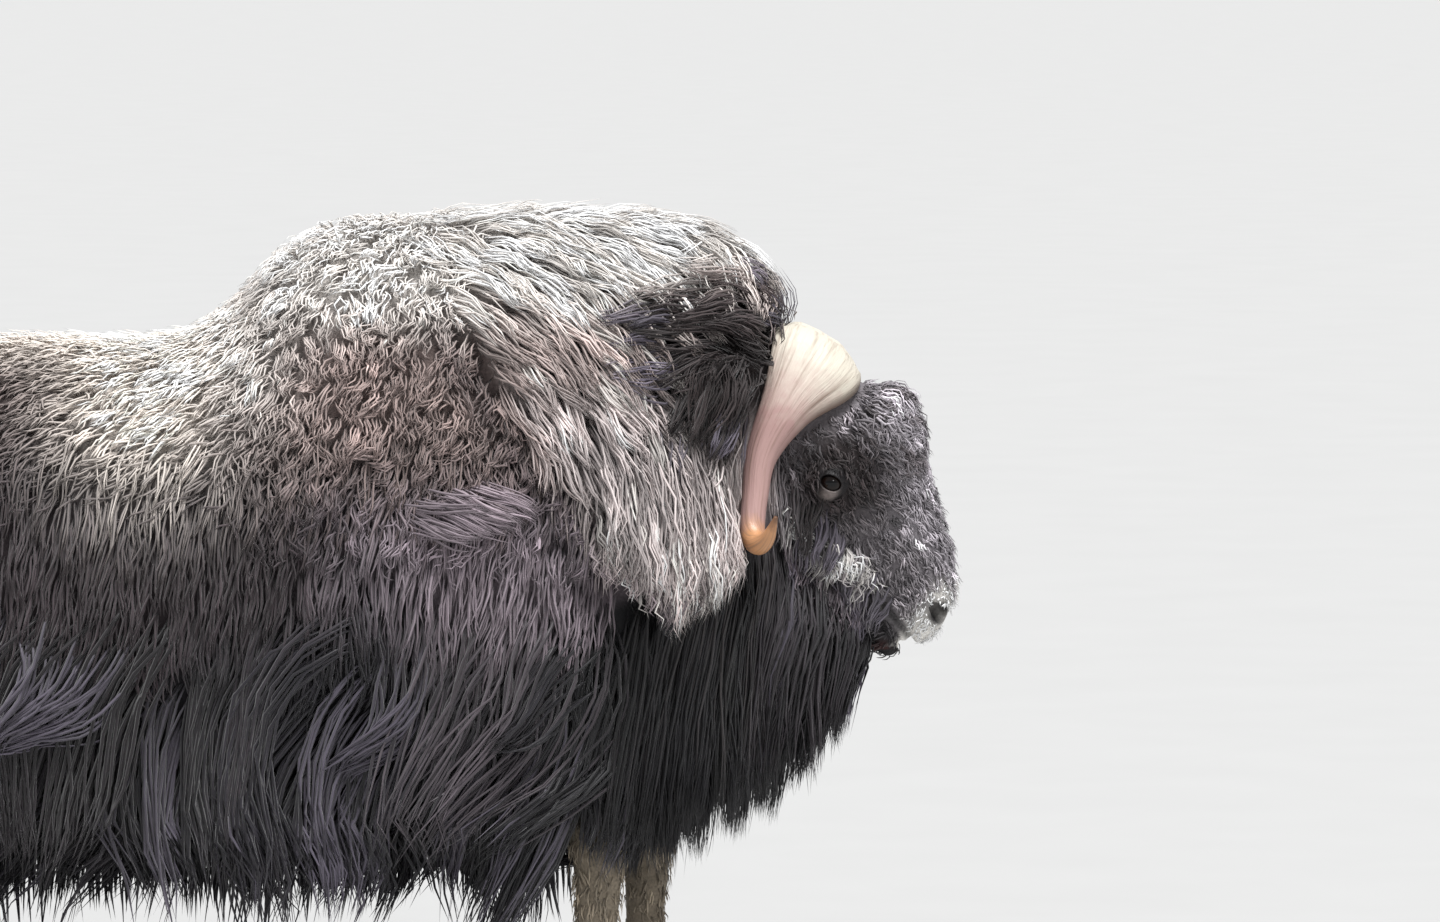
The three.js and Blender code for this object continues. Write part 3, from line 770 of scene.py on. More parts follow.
def shape_head(mesh):
    """Presses the mouth, lids, nostrils and bones of the face into the head."""
    spots = places_of(mesh)
    normals = normals_of(mesh)
    mirrored = folded(head_axes(spots))
    along, above, side = mirrored.T
    line = mouth_line(along)
    at_mouth = ease(along, 0.300, 0.325)
    groove = np.exp(-(((above - line) / 0.0052) ** 2)) * at_mouth
    lips = np.exp(-(((above - line) / 0.017) ** 2)) * at_mouth
    move = lips * 0.0045 - groove * 0.0120
    nostril = np.array(NOSTRIL)
    wing = near(mirrored, nostril + [-0.014, 0.006, 0.004], 0.028)
    hole = near(mirrored, nostril, 0.0150)
    move += wing * 0.0075 - hole * 0.004
    eye = np.array(EYE)
    move += near(mirrored, np.array([0.128, 0.125, 0.030]), 0.052) * 0.012
    move += near(mirrored, eye + [-0.045, 0.034, -0.006], 0.036) * 0.010
    move += near(mirrored, eye + [0.030, -0.052, -0.010], 0.040) * 0.006
    move -= near(mirrored, eye + [0.052, 0.018, -0.012], 0.030) * 0.006
    move -= near(mirrored, np.array([0.26, -0.03, 0.085]), 0.060) * 0.005
    crease = np.abs(np.hypot(along - eye[0], above - eye[1]) - 0.036)
    fold = np.exp(-((crease / 0.004) ** 2)) * ease(side, 0.09, 0.12)
    move -= fold * 0.003
    parting = np.exp(-((side / 0.006) ** 2)) * ease(along, 0.415, 0.435)
    move -= parting * 0.004 * (above < 0.0)
    move_to(mesh, spots + normals * move[:, None])


def eye_room(shape, side):
    """The room for the eye behind its lids."""
    centre = on_face(EYE[0], EYE[1], side * EYE[2])
    ball(shape, centre, [EYE_RADIUS + 0.0004] * 3, detail=32)


def almond(shape, side):
    """The slanting opening between the lids."""
    centre = on_face(EYE[0], EYE[1], side * (EYE[2] + EYE_RADIUS + 0.004))
    ball(shape, centre, (0.0222, 0.017, 0.0132), HEAD_PITCH - math.radians(30), 32)


def nostril(shape, side):
    """The slanting hole of a nostril."""
    centre = on_face(NOSTRIL[0] + 0.002, NOSTRIL[1], side * NOSTRIL[2])
    ball(shape, centre, (0.0130, 0.030, 0.0340), math.radians(-40))


def ear_axes(side):
    """An ear's root, its run to the tip, and the ways across it and out of its back."""
    root = np.array([0.258, side * 0.132, 1.102])
    tip = np.array([0.184, side * 0.292, 1.136])
    run = tip - root
    opening = np.array([0.8, side * 0.3, -0.35])
    opening /= np.linalg.norm(opening)
    across = np.cross(run, opening)
    across /= np.linalg.norm(across)
    back = np.cross(across, run)
    back /= np.linalg.norm(back)
    if back @ opening > 0:
        back = -back
    return root, run, across, back


def ear(shape, side):
    """A leaf-shaped cup with a rolled edge."""
    root, run, across, back = ear_axes(side)
    loops = []
    for share in np.linspace(0.02, 0.98, 14):
        half = float(smooth([0.004, 0.020, 0.028, 0.033, 0.031, 0.022, 0.003], share))
        cup = float(smooth([0.004, 0.014, 0.022, 0.026, 0.022, 0.014, 0.003], share))
        wall = min(0.008, cup * 0.5)
        places = []
        for turn in turns_of(20):
            deep = math.sin(turn) * (cup if math.sin(turn) > 0 else wall - cup)
            places.append(root + run * share + across * half * math.cos(turn) + back * deep)
        loops.append(ring(shape, places))
    bridge(shape, loops)


def head_mesh():
    """The head with its ears, lids, mouth and nostrils, closed at the neck."""
    depth = sizes().face_depth
    shape = bmesh.new()
    face_loft(FACE_ROWS).build(shape, 56, 60, -depth)
    face_loft(CHIN_ROWS).build(shape, 32, 24, -depth)
    ball(shape, on_face(0.428, -0.038), (0.027, 0.049, 0.027))
    for side, _ in SIDES:
        rim = on_face(EYE[0] - 0.006, EYE[1], side * (EYE[2] - 0.026))
        ball(shape, rim, (0.044, 0.042, 0.040))
        ball(shape, on_face(EYE[0], EYE[1], side * EYE[2]), [EYE_RADIUS + 0.0042] * 3)
        ear(shape, side)
    made = remeshed(to_mesh("head", shape), HEAD_VOXEL, 3)
    shape_head(made)
    for opening in (eye_room, almond, nostril):
        cuts = bmesh.new()
        for side, _ in SIDES:
            opening(cuts, side)
        made = joined(made, to_mesh("openings", cuts), "DIFFERENCE")
    return made


# The line along which the neck's mane ends over the shoulder, in x and z from above
FOLD = [(-0.26, 1.37), (-0.245, 1.29), (-0.16, 1.12), (-0.06, 0.975), (0.02, 0.85), (0.09, 0.73)]


def past_fold(spots):
    """How far a place lies in front of the mane's rear edge, in metres."""
    local = spots - START
    heights = [f[1] for f in reversed(FOLD)]
    edge = np.interp(local[:, 2], heights, [f[0] for f in reversed(FOLD)])
    return local[:, 0] - edge


def body_mesh():
    """The trunk, throat, legs and tail in one, with the mane's step over the shoulder."""
    depth = sizes().coat_depth
    shape = bmesh.new()
    trunk_loft().build(shape, 72, 90, -depth)
    THROAT.build(shape, 40, 26, -depth * 0.6)
    for side, name in SIDES:
        fore_leg(side, FORE_X[name]).build(shape, 28, 36, -0.005)
        hind_leg(side, HIND_X[name]).build(shape, 28, 36, -0.005)
    tail(shape)
    made = remeshed(to_mesh("body", shape), BODY_VOXEL, 4)
    spots = places_of(made)
    normals = normals_of(made)
    ahead = past_fold(spots)
    high = within(spots[:, 2] - START[2], 0.74, 1.25, 0.06)
    step = ease(ahead, -0.012, 0.012) * (1 - ease(ahead, 0.10, 0.26)) * high
    dip = np.exp(-(((ahead + 0.025) / 0.02) ** 2)) * high
    move_to(made, spots + normals * (step * 0.016 - dip * 0.008)[:, None])
    return made


# The tail's middle line in x and z, with half its thickness and half its width there
TAIL_ENTRIES = [
    (-1.440, 0.985, 0.020, 0.024),
    (-1.486, 0.960, 0.020, 0.026),
    (-1.504, 0.915, 0.017, 0.022),
    (-1.508, 0.868, 0.012, 0.016),
    (-1.507, 0.835, 0.004, 0.005),
]


def tail(shape):
    """The short tail, which hangs down the rump."""
    loops = []
    for share in np.linspace(0, 1, 12):
        x, z, thick, wide = smooth(TAIL_ENTRIES, share)
        after, before = min(share + 0.02, 1), max(share - 0.02, 0)
        ahead = smooth(TAIL_ENTRIES, after) - smooth(TAIL_ENTRIES, before)
        run = np.array([ahead[0], 0, ahead[1]]) / np.hypot(ahead[0], ahead[1])
        face = np.array([-run[2], 0, run[0]])
        places = []
        for turn in turns_of(16):
            place = np.array([x, 0, z]) + face * thick * math.cos(turn)
            places.append(place + [0, wide * math.sin(turn), 0])
        loops.append(ring(shape, places))
    bridge(shape, loops)


# Markings

LIP_RED = linear(120, 62, 56)
# Dark bare skin of the lids, also used as painted shade in the nostrils and the mouth's groove
DARK_SKIN_AND_SHADE = linear(24, 20, 22)
# A painted highlight on the lower lid, under each eye
LID_HIGHLIGHT = linear(150, 138, 134)


def marking(spots):
    """The coat's colour at each place, the same for skin and hair."""
    paint = colours()
    local = spots - START
    x, z = local[:, 0], local[:, 2]
    tone = np.tile(np.array(paint.flank), (len(spots), 1))

    def lay(name, amount):
        tone[:] += (np.array(getattr(paint, name)) - tone) * np.clip(amount, 0, 1)[:, None]

    top = ease(z, 0.94, 1.16)
    lay("shoulder", within(x, -0.40, 0.06, 0.10) * within(z, 0.55, 0.95, 0.08))
    lay("back", top * (1 - ease(x, -0.62, -0.50)) * 0.6)
    lay("saddle", ease(z, 1.09, 1.17) * (1 - ease(x, -0.60, -0.50)) * ease(x, -1.30, -1.08))
    blob = np.exp(-(((x + 0.70) / 0.13) ** 2 + ((z - 1.09) / 0.11) ** 2))
    lay("saddle", blob * 1.35)
    lay("hump", ease(x, -0.62, -0.46) * ease(z, 0.90, 1.09))
    # Painted sunlight: the pale rim colour on the upper rear slope of the hump and along its top
    rear = np.exp(-(((x + 0.54) / 0.075) ** 2 + ((z - 1.17) / 0.11) ** 2))
    lay("rim", rear * 0.8)
    lay("rim", ease(z, 1.15, 1.26) * ease(x, -0.60, -0.46))
    ahead = past_fold(spots)
    cape = ease(ahead, -0.01, 0.03) * ease(z, 0.80, 0.95)
    lay("mane", cape * (1 - 0.7 * ease(z, 1.20, 1.34)))
    lay("lobe", cape * (1 - ease(z, 1.08, 1.19)))
    # Painted shadow: a dark band just behind the mane's rear edge, where the mane stands over the shoulder
    lay("flank", np.exp(-(((ahead + 0.035) / 0.026) ** 2)) * within(z, 0.78, 1.20, 0.05) * 0.65)
    # Painted sunlight along the top of the mane
    lay("rim", cape * ease(z, 1.19, 1.29) * (1 - ease(x, 0.12, 0.24)))
    skirt = 1 - ease(z + 0.10 * np.sin(x * 7 + 1.2) + 0.03 * np.sin(x * 23), 0.62, 0.80)
    lay("skirt", skirt)
    under_mane = ease(x - np.interp(z, [0.35, 0.75, 0.80], [-0.03, -0.08, -0.04]), -0.012, 0.012)
    lay("beard", under_mane * (1 - ease(z - (x - 0.12) * 0.5, 0.79, 0.83)))
    tuft = np.exp(-(((x - 0.20) / 0.11) ** 2 + ((z - 1.145) / 0.09) ** 2))
    lay("tuft", tuft * 2.2 * (x < 0.33))
    reach, own = face_reach(spots)
    on_head = (1 - ease(reach, 1.12, 1.35)) * ease(own[:, 0], 0.00, 0.05) * ease(x, 0.255, 0.29)
    lay("face", on_head)
    along, above = own[:, 0], own[:, 1]
    pad = ease(above, 0.02, 0.09) * within(along, 0.08, 0.25, 0.02)
    lay("brow", on_head * pad)
    lay("brow", on_head * ease(above, 0.0, 0.06) * within(along, 0.25, 0.40, 0.02) * 0.7)
    socket = near(folded(own), np.array([0.152, 0.000, 0.115]), 0.070)
    lay("tuft", on_head * np.clip(socket * 1.7, 0, 1) * 0.95)
    jaw = on_head * (1 - ease(above - 0.10 * (along - 0.2), -0.110, -0.080)) * ease(along, 0.1, 0.2)
    lay("beard", jaw * 0.85)
    line = np.interp(x, *curl_places())
    cheek = within(z - line, -0.115, -0.02, 0.035) * within(x, 0.265, 0.420, 0.025)
    lay("shoulder", cheek * ease(np.abs(local[:, 1]), 0.03, 0.06) * 0.95)
    above_nostril = near(own[:, :2], np.array([0.418, 0.026]), 0.026)
    muzzle = np.maximum(above_nostril, near(own[:, :2], np.array([0.438, -0.028]), 0.028))
    lay("nose", ease(along, 0.36, 0.39) * (reach < 1.5) * np.clip(muzzle * 2.2, 0, 1))
    lay("nose", on_head * np.clip(curl_line(local) * 1.3, 0, 1) * 0.9)
    lip = near(own[:, :2], np.array([0.424, -0.108]), 0.013)
    tone += (np.array(LIP_RED) - tone) * (lip * (reach < 1.6) * 0.35)[:, None]
    lay("legs", (1 - ease(z, 0.36, 0.46)) * leg_mask(local))
    return np.clip(tone, 0, 1)


def curl_places():
    """The line of pale curls that parts the cheek from the jaw, in x and z."""
    return [0.290, 0.328, 0.364, 0.406, 0.438, 0.452], [0.912, 0.866, 0.847, 0.823, 0.790, 0.745]


def curl_line(local):
    middle = np.interp(local[:, 0], *curl_places())
    return np.exp(-(((local[:, 2] - middle) / 0.013) ** 2)) * within(local[:, 0], 0.288, 0.452, 0.008)


def leg_mask(local):
    """1 on a leg, seen from above."""
    x, y, _ = local.T
    on_leg = np.zeros(len(local))
    for side, name in SIDES:
        for foot_x, foot_y in ((FORE_X[name], FORE_Y), (HIND_X[name] - 0.02, HIND_Y)):
            away = np.hypot((x - foot_x) / 0.095, (y - side * foot_y) / 0.075)
            on_leg = np.maximum(on_leg, 1 - ease(away, 0.9, 1.15))
    return on_leg


def under_horn(spots):
    """1 where the boss covers the skin."""
    local = spots - START
    local[:, 1] = np.abs(local[:, 1])
    covered = np.zeros(len(spots))
    for row in smooth(HORN_ENTRIES, np.linspace(0, 0.8, 24)):
        away = np.linalg.norm(local - row[:3], axis=1) / max(row[3], row[4])
        covered = np.maximum(covered, 1 - ease(away, 0.95, 1.08))
    return covered


def bare_mask(spots):
    """1 where the skin shows: lids, nostrils, lips and the mouth."""
    reach, own = face_reach(spots)
    along, above, _ = own.T
    lid = 1 - ease(np.linalg.norm(folded(own) - np.array(EYE), axis=1), 0.026, 0.032)
    tip = ease(along, 0.418, 0.436)
    lips = (1 - ease(np.abs(above - mouth_line(along)), 0.008, 0.014)) * ease(along, 0.32, 0.34)
    return np.clip(lid + (tip + lips) * (reach < 1.4), 0, 1)


def paint_skin(mesh):
    """Gives the skin the coat's colours, a little darker, pale skin at the nose's tip, dark bare skin at
    the lids, painted shade in the nostrils and the mouth's groove, and a painted highlight under each eye.
    """
    spots = places_of(mesh)
    tone = marking(spots) * 0.70
    reach, own = face_reach(spots)
    mirrored = folded(own)
    bare = bare_mask(spots)
    lid = 1 - ease(np.linalg.norm(mirrored - np.array(EYE), axis=1), 0.026, 0.034)
    hole = near(mirrored * [1, 1, 0.6], np.array(NOSTRIL) * [1, 1, 0.6], 0.019)
    above_lips = own[:, 1] - mouth_line(own[:, 0])
    groove = np.exp(-((above_lips / 0.006) ** 2)) * ease(own[:, 0], 0.30, 0.33) * (reach < 1.4)
    tip = bare * ease(own[:, 0], 0.41, 0.43)
    tone += (np.array(colours().nose) - tone) * (tip * 0.95)[:, None]
    # Dark bare skin at the lids, and painted shade in the nostrils and in the groove between the lips
    dark = np.clip(lid + np.clip(hole * 1.9, 0, 1) + groove * 0.9, 0, 1)
    tone += (np.array(DARK_SKIN_AND_SHADE) - tone) * dark[:, None]
    # A painted highlight on the lower lid, under each eye
    below = near(mirrored, np.array(EYE) + [0.016, -0.014, 0.014], 0.013)
    tone += (np.array(LID_HIGHLIGHT) - tone) * np.clip(below * 1.2, 0, 0.8)[:, None]
    store(mesh, "Tint", "FLOAT_COLOR", np.hstack([tone, np.ones((len(tone), 1))]))
    store(mesh, "Bare", "FLOAT", bare)


def unwrap(spots):
    """Where each place of the skin lies on its flat map: one strip round each part of the body."""
    local = spots - START
    x, y, z = local.T
    spine = np.interp(x, [-1.49, -1.2, -0.5, 0.1, 0.3], [0.80, 0.80, 0.86, 0.90, 0.96])
    turn = np.arctan2(y, z - spine) / TURN + 0.5
    flat = np.stack([0.01 + (x + 1.56) / 1.95 * 0.58, 0.01 + turn * 0.98], 1)
    reach, own = face_reach(spots)
    face_turn = np.arctan2(own[:, 2], own[:, 1]) / TURN + 0.5
    face = np.stack([0.63 + np.clip(own[:, 0] + 0.12, 0, 0.6) * 0.6, 0.02 + face_turn * 0.50], 1)
    head = (reach < 1.3) & (x > 0.262) & (own[:, 0] > -0.04)
    flat[head] = face[head]
    leg = (leg_mask(local) > 0.5) & (z < 0.44)
    corner = (x > -0.5) * 2 + (y > 0)
    around = np.arctan2(y - np.sign(y) * FORE_Y, x - np.where(x > -0.5, 0.03, -1.19))
    strip_turn = 0.56 + corner * 0.10 + (around / TURN + 0.5) * 0.09
    strip = np.stack([0.63 + z / 0.44 * 0.35, strip_turn], 1)
    flat[leg] = strip[leg]
    return flat


def add_map(mesh, flat):
    """Gives each corner of a mesh its vertex's place on the flat map."""
    corners = np.empty(len(mesh.loops), np.int32)
    mesh.loops.foreach_get("vertex_index", corners)
    made = mesh.uv_layers.new(name="OFBake")
    made.uv.foreach_set("vector", flat[corners].astype(np.float32).ravel())


# Coat

# The lower edge of the long hair, in x and z: along the sides, then up under the throat
HEM = [(-1.60, 0.28), (-1.42, 0.16), (-1.30, 0.10), (-0.08, 0.10), (-0.01, 0.31), (0.083, 0.315)]
HEM += [(0.163, 0.335), (0.227, 0.375), (0.315, 0.410), (0.371, 0.470), (0.440, 0.600)]
HEM += [(0.470, 0.645)]

# How far strands may reach past the solids' box, and how far off the floor they end
PAST_BOX, OFF_FLOOR = 0.014, 0.012
TRIANGLES_A_PIECE = 195000
CROWD = 360000

# How a strand's width, and its painted shade (dark deep in the coat at the root, a little painted
# highlight at the tip), run from the root to the tip
TAPER = ((0, 0.12, 0.4, 0.75, 1), (0.35, 0.8, 1, 0.7, 0.0))
ROOT_SHADE = ((0, 0.15, 0.5, 1), (0.42, 0.74, 1.0, 1.12))
FLATNESS = 0.45
STRAND_SIDES = 3

# What a region of the coat is like unless it says otherwise
PLAIN_LOOK = {
    "head": False,  # grows on the head
    "steps": 5,  # stretches in a strand
    "clump": 7,  # strands to a clump
    "bundle": 5,  # clumps to a lock
    "gather": 0.5,  # how far a strand is drawn to its clump
    "bundle_gather": 0.25,  # how far a clump is drawn to its lock
    "mess": 0.12,  # how much the strands' ways differ
    "spread": (0.8, 1.15),  # shortest and longest, as a share of the length
    "lift": 0.02,  # how high it lies over the skin, in metres
    "hug": 0.6,  # how strongly it is held down to that
    "hang": 1.0,  # how soon it hangs free where the skin turns under
    "sweep": 0.0,  # how far a lock bends to one side, in metres
    "wave": 0.006,  # half width of a curl, in metres
    "turns": 1.2,  # curls in a strand
    "puff": 0.5,  # how round a curl is, seen from its end
    "stray": 0.004,  # how far a tip strays, in metres
    "clump_shade": 0.16,  # how much the shade differs from clump to clump,
    "lead_shade": 0.12,  # from lock to lock
    "shade": 0.13,  # and from strand to strand
    "gain": 1.0,  # how bright it is beside the marking
    "paint": None,  # a colour laid over the marking, and its share
    "second": None,  # a second colour, and the share of strands that have it
    "where": None,  # where the second colour is found
    "width": None,  # a strand's width, in metres
}


def to_hem(local):
    """How long hair must be to reach from its root to the coat's lower edge."""
    return np.clip(local[:, 2] - np.interp(local[:, 0], *zip(*HEM)), 0.035, 0.52)


class Field:
    """The distance to the skin, positive outside, on a grid of points."""

    SEARCH = 0.13
    FAR = 0.2

    def __init__(self, tree, low, high, step):
        self.low, self.step = np.array(low), step
        counts = np.ceil((np.array(high) - self.low) / step).astype(int) + 1
        axes = [self.low[i] + np.arange(counts[i]) * step for i in range(3)]
        self.values = np.full(counts, self.FAR)
        for i, x in enumerate(axes[0]):
            for j, y in enumerate(axes[1]):
                for k, z in enumerate(axes[2]):
                    place, normal, _, away = tree.find_nearest((x, y, z), self.SEARCH)
                    if place is not None:
                        behind = (x - place.x) * normal.x + (y - place.y) * normal.y
                        behind += (z - place.z) * normal.z
                        self.values[i, j, k] = away if behind > 0 else -away
        self.slopes = np.stack(np.gradient(self.values, step), -1)

    def sample(self, spots):
        """The distance at each place, and the way out of the skin there."""
        place = (spots - self.low) / self.step
        top = np.array(self.values.shape) - 1.001
        place = np.clip(place, 0, top)
        i = place.astype(int)
        u = place - i
        distance, out = 0.0, 0.0
        for corner in range(8):
            bit = np.array([corner >> 2 & 1, corner >> 1 & 1, corner & 1])
            weight = np.prod(np.where(bit, u, 1 - u), axis=1)
            a, b, c = (i + bit).T
            distance = distance + weight * self.values[a, b, c]
            out = out + weight[:, None] * self.slopes[a, b, c]
        return distance, unit(out)


def unit(vectors):
    return vectors / np.maximum(np.linalg.norm(vectors, axis=-1, keepdims=True), 1e-9)


def in_order(corners):
    """The same triangles, each from its lowest corner on, and sorted."""
    lowest = corners.argmin(axis=1)[:, None]
    turned = np.take_along_axis(corners, (lowest + np.arange(3)) % 3, axis=1)
    return turned[np.lexsort(turned.T[::-1])]


def skin_tree(mesh):
    """The skin's triangles, as a search tree and as arrays.

    The cuts leave faces in no fixed order, so from the first face that isn't a quad on, the
    triangles are sorted, and the same roots are drawn in every run.
    """
    mesh.calc_loop_triangles()
    corners = np.empty(len(mesh.loop_triangles) * 3, np.int32)
    mesh.loop_triangles.foreach_get("vertices", corners)
    corners = corners.reshape(-1, 3)
    sizes_of_faces = np.empty(len(mesh.polygons), np.int32)
    mesh.polygons.foreach_get("loop_total", sizes_of_faces)
    settled = 2 * int(np.argmax(sizes_of_faces != 4))
    corners[settled:] = in_order(corners[settled:])
    spots = places_of(mesh)
    tree = BVHTree.FromPolygons(spots.tolist(), corners.tolist(), all_triangles=True)
    return tree, spots, corners


class Hide:
    """The finished skin, as the coat needs it."""

    def __init__(self, mesh):
        self.tree, self.spots, self.corners = skin_tree(mesh)
        low, high = self.spots.min(0) - 0.09, self.spots.max(0) + 0.09
        coarse = 0.018
        self.body = Field(self.tree, low, high, coarse)
        middle = on_face(0.20, 0) + START
        reach = np.array([0.31, 0.22, 0.33])
        self.head = Field(self.tree, middle - reach, middle + reach, 0.009)
        self.pool()

    def pool(self, count=CROWD):
        """A crowd of possible roots, spread evenly over the skin."""
        draw = np.random.default_rng(sizes().seed)
        a, b, c = (self.spots[self.corners[:, i]] for i in range(3))
        cross = np.cross(b - a, c - a)
        area = np.linalg.norm(cross, axis=1)
        pick = draw.choice(len(area), count, p=area / area.sum())
        u, v = draw.random(count), draw.random(count)
        flip = u + v > 1
        u[flip], v[flip] = 1 - u[flip], 1 - v[flip]
        self.roots = a[pick] + (b - a)[pick] * u[:, None] + (c - a)[pick] * v[:, None]
        self.outs = unit(cross[pick])
        self.tones = marking(self.roots)
        self.flat = unwrap(self.roots)
        self.reach, self.own = face_reach(self.roots)
        self.local = self.roots - START
        self.leg = leg_mask(self.local) * (self.local[:, 2] < 0.47)
        self.bare = np.maximum(bare_mask(self.roots), under_horn(self.roots))


# The finished skin, kept for the operators that grow the coat
HIDE = {}


def lie_over(field, roots, outs, way, lengths, lift, look):
    """Paths that leave the skin, lie over it the way given, and hang where it turns under."""
    paths = [roots - outs * 0.006]
    faces = [outs]
    spots = roots + outs * 0.001
    out = outs
    steps = look["steps"]
    under = np.zeros(len(roots))
    for k in range(1, steps + 1):
        share = k / steps
        flat = unit(way - out * np.sum(way * out, axis=1, keepdims=True))
        under = np.maximum(under, ease(-out[:, 2], 0.05, 0.45) * look["hang"])
        fall = unit(np.stack([way[:, 0] * 0.45, out[:, 1] * 0.04, -np.ones(len(way))], 1))
        going = unit(flat * (1 - under)[:, None] + fall * under[:, None])
        spots = spots + going * (lengths / steps)[:, None]
        distance, out = field.sample(spots)
        wanted = lift * (0.25 + 0.75 * math.sin(min(share * 1.5, 1) * math.pi / 2))
        gap = wanted - distance
        push = np.where(gap > 0, gap, gap * look["hug"] * (1 - under))
        spots = spots + out * np.clip(push, -0.05, 0.06)[:, None]
        paths.append(spots)
        faces.append(out)
    return np.stack(paths, 1), np.stack(faces, 1)


def gather(paths, roots, guides, guide_roots, amount):
    """Draws each strand towards the guide nearest its root, more at its tip."""
    tree = KDTree(len(guide_roots))
    for i, place in enumerate(guide_roots):
        tree.insert(place, i)
    tree.balance()
    nearest = np.array([tree.find(place)[1] for place in roots])
    share = np.linspace(0, 1, paths.shape[1])[None, :, None]
    drawn = amount * share**0.9
    return paths * (1 - drawn) + guides[nearest] * drawn, nearest


def strands_mesh(name, paths, faces, widths, tones, flat, spread):
    """One mesh of closed three-sided tapered strands."""
    count, steps = paths.shape[0], paths.shape[1]
    run = np.gradient(paths, axis=1)
    across = unit(np.cross(run, faces))
    lift = unit(np.cross(across, run))
    share = np.linspace(0, 1, steps)
    taper = np.interp(share, *TAPER)
    inner = slice(1, steps - 1)
    half = (widths[:, None] * taper[None, :])[:, inner, None] * 0.5
    rings = []
    for turn in (math.pi * 1.5, math.pi / 6, math.pi * 5 / 6):
        side = across[:, inner] * math.cos(turn) * half * 1.15
        rings.append(paths[:, inner] + side - lift[:, inner] * math.sin(turn) * half * FLATNESS)
    body = np.stack(rings, 2).reshape(count, -1, 3)
    verts = np.concatenate([paths[:, :1], body, paths[:, -1:]], 1)
    each = verts.shape[1]
    tris, quads = strand_faces(steps - 2, each)
    offsets = (np.arange(count) * each)[:, None, None]
    all_tris = (tris[None] + offsets).reshape(-1)
    all_quads = (quads[None] + offsets).reshape(-1)
    mesh = mesh_from(name, verts.reshape(-1, 3), all_tris, all_quads)
    along = np.concatenate([[0], np.repeat(share[inner], STRAND_SIDES), [1]])
    # Painted shade deep in the coat at the root, and a little painted highlight at the tip
    shade = np.interp(along, *ROOT_SHADE)
    tints = np.clip(tones[:, None, :] * shade[None, :, None], 0, 1)
    tints = np.concatenate([tints, np.ones((count, each, 1))], 2)
    store(mesh, "Tint", "FLOAT_COLOR", tints)
    turn = np.concatenate([[0], np.tile([0, 0.33, 0.66], steps - 2), [0]])
    marks = np.empty((count, each, 3))
    marks[:, :, 0] = along
    marks[:, :, 1] = turn
    marks[:, :, 2] = spread[:, None]
    store(mesh, "Strand", "FLOAT_VECTOR", marks)
    angle = turn * TURN
    patch = np.stack([along - 0.5, np.cos(angle) * 0.5], 1) * 0.003
    add_map(mesh, (flat[:, None, :] + patch[None]).reshape(-1, 2))
    return mesh


def strand_faces(rings, each):
    """One strand's faces: three at the root, three at the tip, and bands of three between."""
    tip = each - 1
    tris, quads = [], []
    for i in range(STRAND_SIDES):
        j = (i + 1) % STRAND_SIDES
        tris.append((0, 1 + j, 1 + i))
        last = 1 + (rings - 1) * STRAND_SIDES
        tris.append((tip, last + i, last + j))
        for r in range(rings - 1):
            low = 1 + r * STRAND_SIDES
            high = low + STRAND_SIDES
            quads.append((low + i, low + j, high + j, high + i))
    return np.array(tris), np.array(quads)


def mesh_from(name, verts, tris, quads):
    """A mesh straight from arrays of places and of face corners."""
    mesh = bpy.data.meshes.new(name)
    mesh.vertices.add(len(verts))
    mesh.vertices.foreach_set("co", verts.astype(np.float32).ravel())
    corners = np.concatenate([tris, quads]).astype(np.int32)
    mesh.loops.add(len(corners))
    mesh.loops.foreach_set("vertex_index", corners)
    three, four = len(tris) // 3, len(quads) // 4
    mesh.polygons.add(three + four)
    starts = np.concatenate([np.arange(three) * 3, three * 3 + np.arange(four) * 4])
    mesh.polygons.foreach_set("loop_start", starts.astype(np.int32))
    mesh.update(calc_edges=True)
    return mesh


def grow_coat(name, slot, finish, mask, count, **look):
    """Grows one region of the coat and links it as one or more pieces."""
    look = {**PLAIN_LOOK, **look}
    hide = HIDE["skin"]
    size = sizes()
    draw = np.random.default_rng(size.seed + len(name) * 7 + count)
    count = int(count * size.fullness * (1))
    weight = mask(hide)
    total = weight.sum()
    if total <= 0:
        raise RuntimeError(f"no skin for {name}")
    count = min(count, int((weight > 0.02).sum() * 0.8))
    pick = draw.choice(len(weight), count, replace=False, p=weight / total)
    guide_count = max(count // look["clump"], 8)
    guide_pick = draw.choice(len(weight), guide_count, replace=False, p=weight / total)
    lead_count = max(guide_count // look["bundle"], 4)
    guides, _ = region_paths(hide, guide_pick, look, draw)
    guide_roots = hide.roots[guide_pick]
    leads, lead_roots = guides[:lead_count], guide_roots[:lead_count]
    guides, lead_of = gather(guides, guide_roots, leads, lead_roots, look["bundle_gather"])
    paths, faces = region_paths(hide, pick, look, draw)
    paths, clump = gather(paths, hide.roots[pick], guides, guide_roots, look["gather"])
    owners = Owners(clump, lead_of[clump], guide_count, lead_count)
    paths = curled(paths, faces, owners, look, draw)
    kept = clear_of(paths) & unbroken(paths)
    paths, faces, pick = paths[kept], faces[kept], pick[kept]
    count = len(pick)
    tones = strand_tones(hide, pick, owners.only(kept), look, draw)
    widths = (look["width"] or size.strand_width) * draw.uniform(0.8, 1.4, count)
    per_piece = TRIANGLES_A_PIECE // (2 * STRAND_SIDES * (look["steps"] - 1))
    for number, start in enumerate(range(0, count, per_piece)):
        part = slice(start, start + per_piece)
        piece = f"{name}_{number + 1}"
        random = draw.random(len(widths[part]))
        own = (array[part] for array in (paths, faces, widths, tones, hide.flat[pick]))
        link(piece, strands_mesh(piece, *own, random), finish)


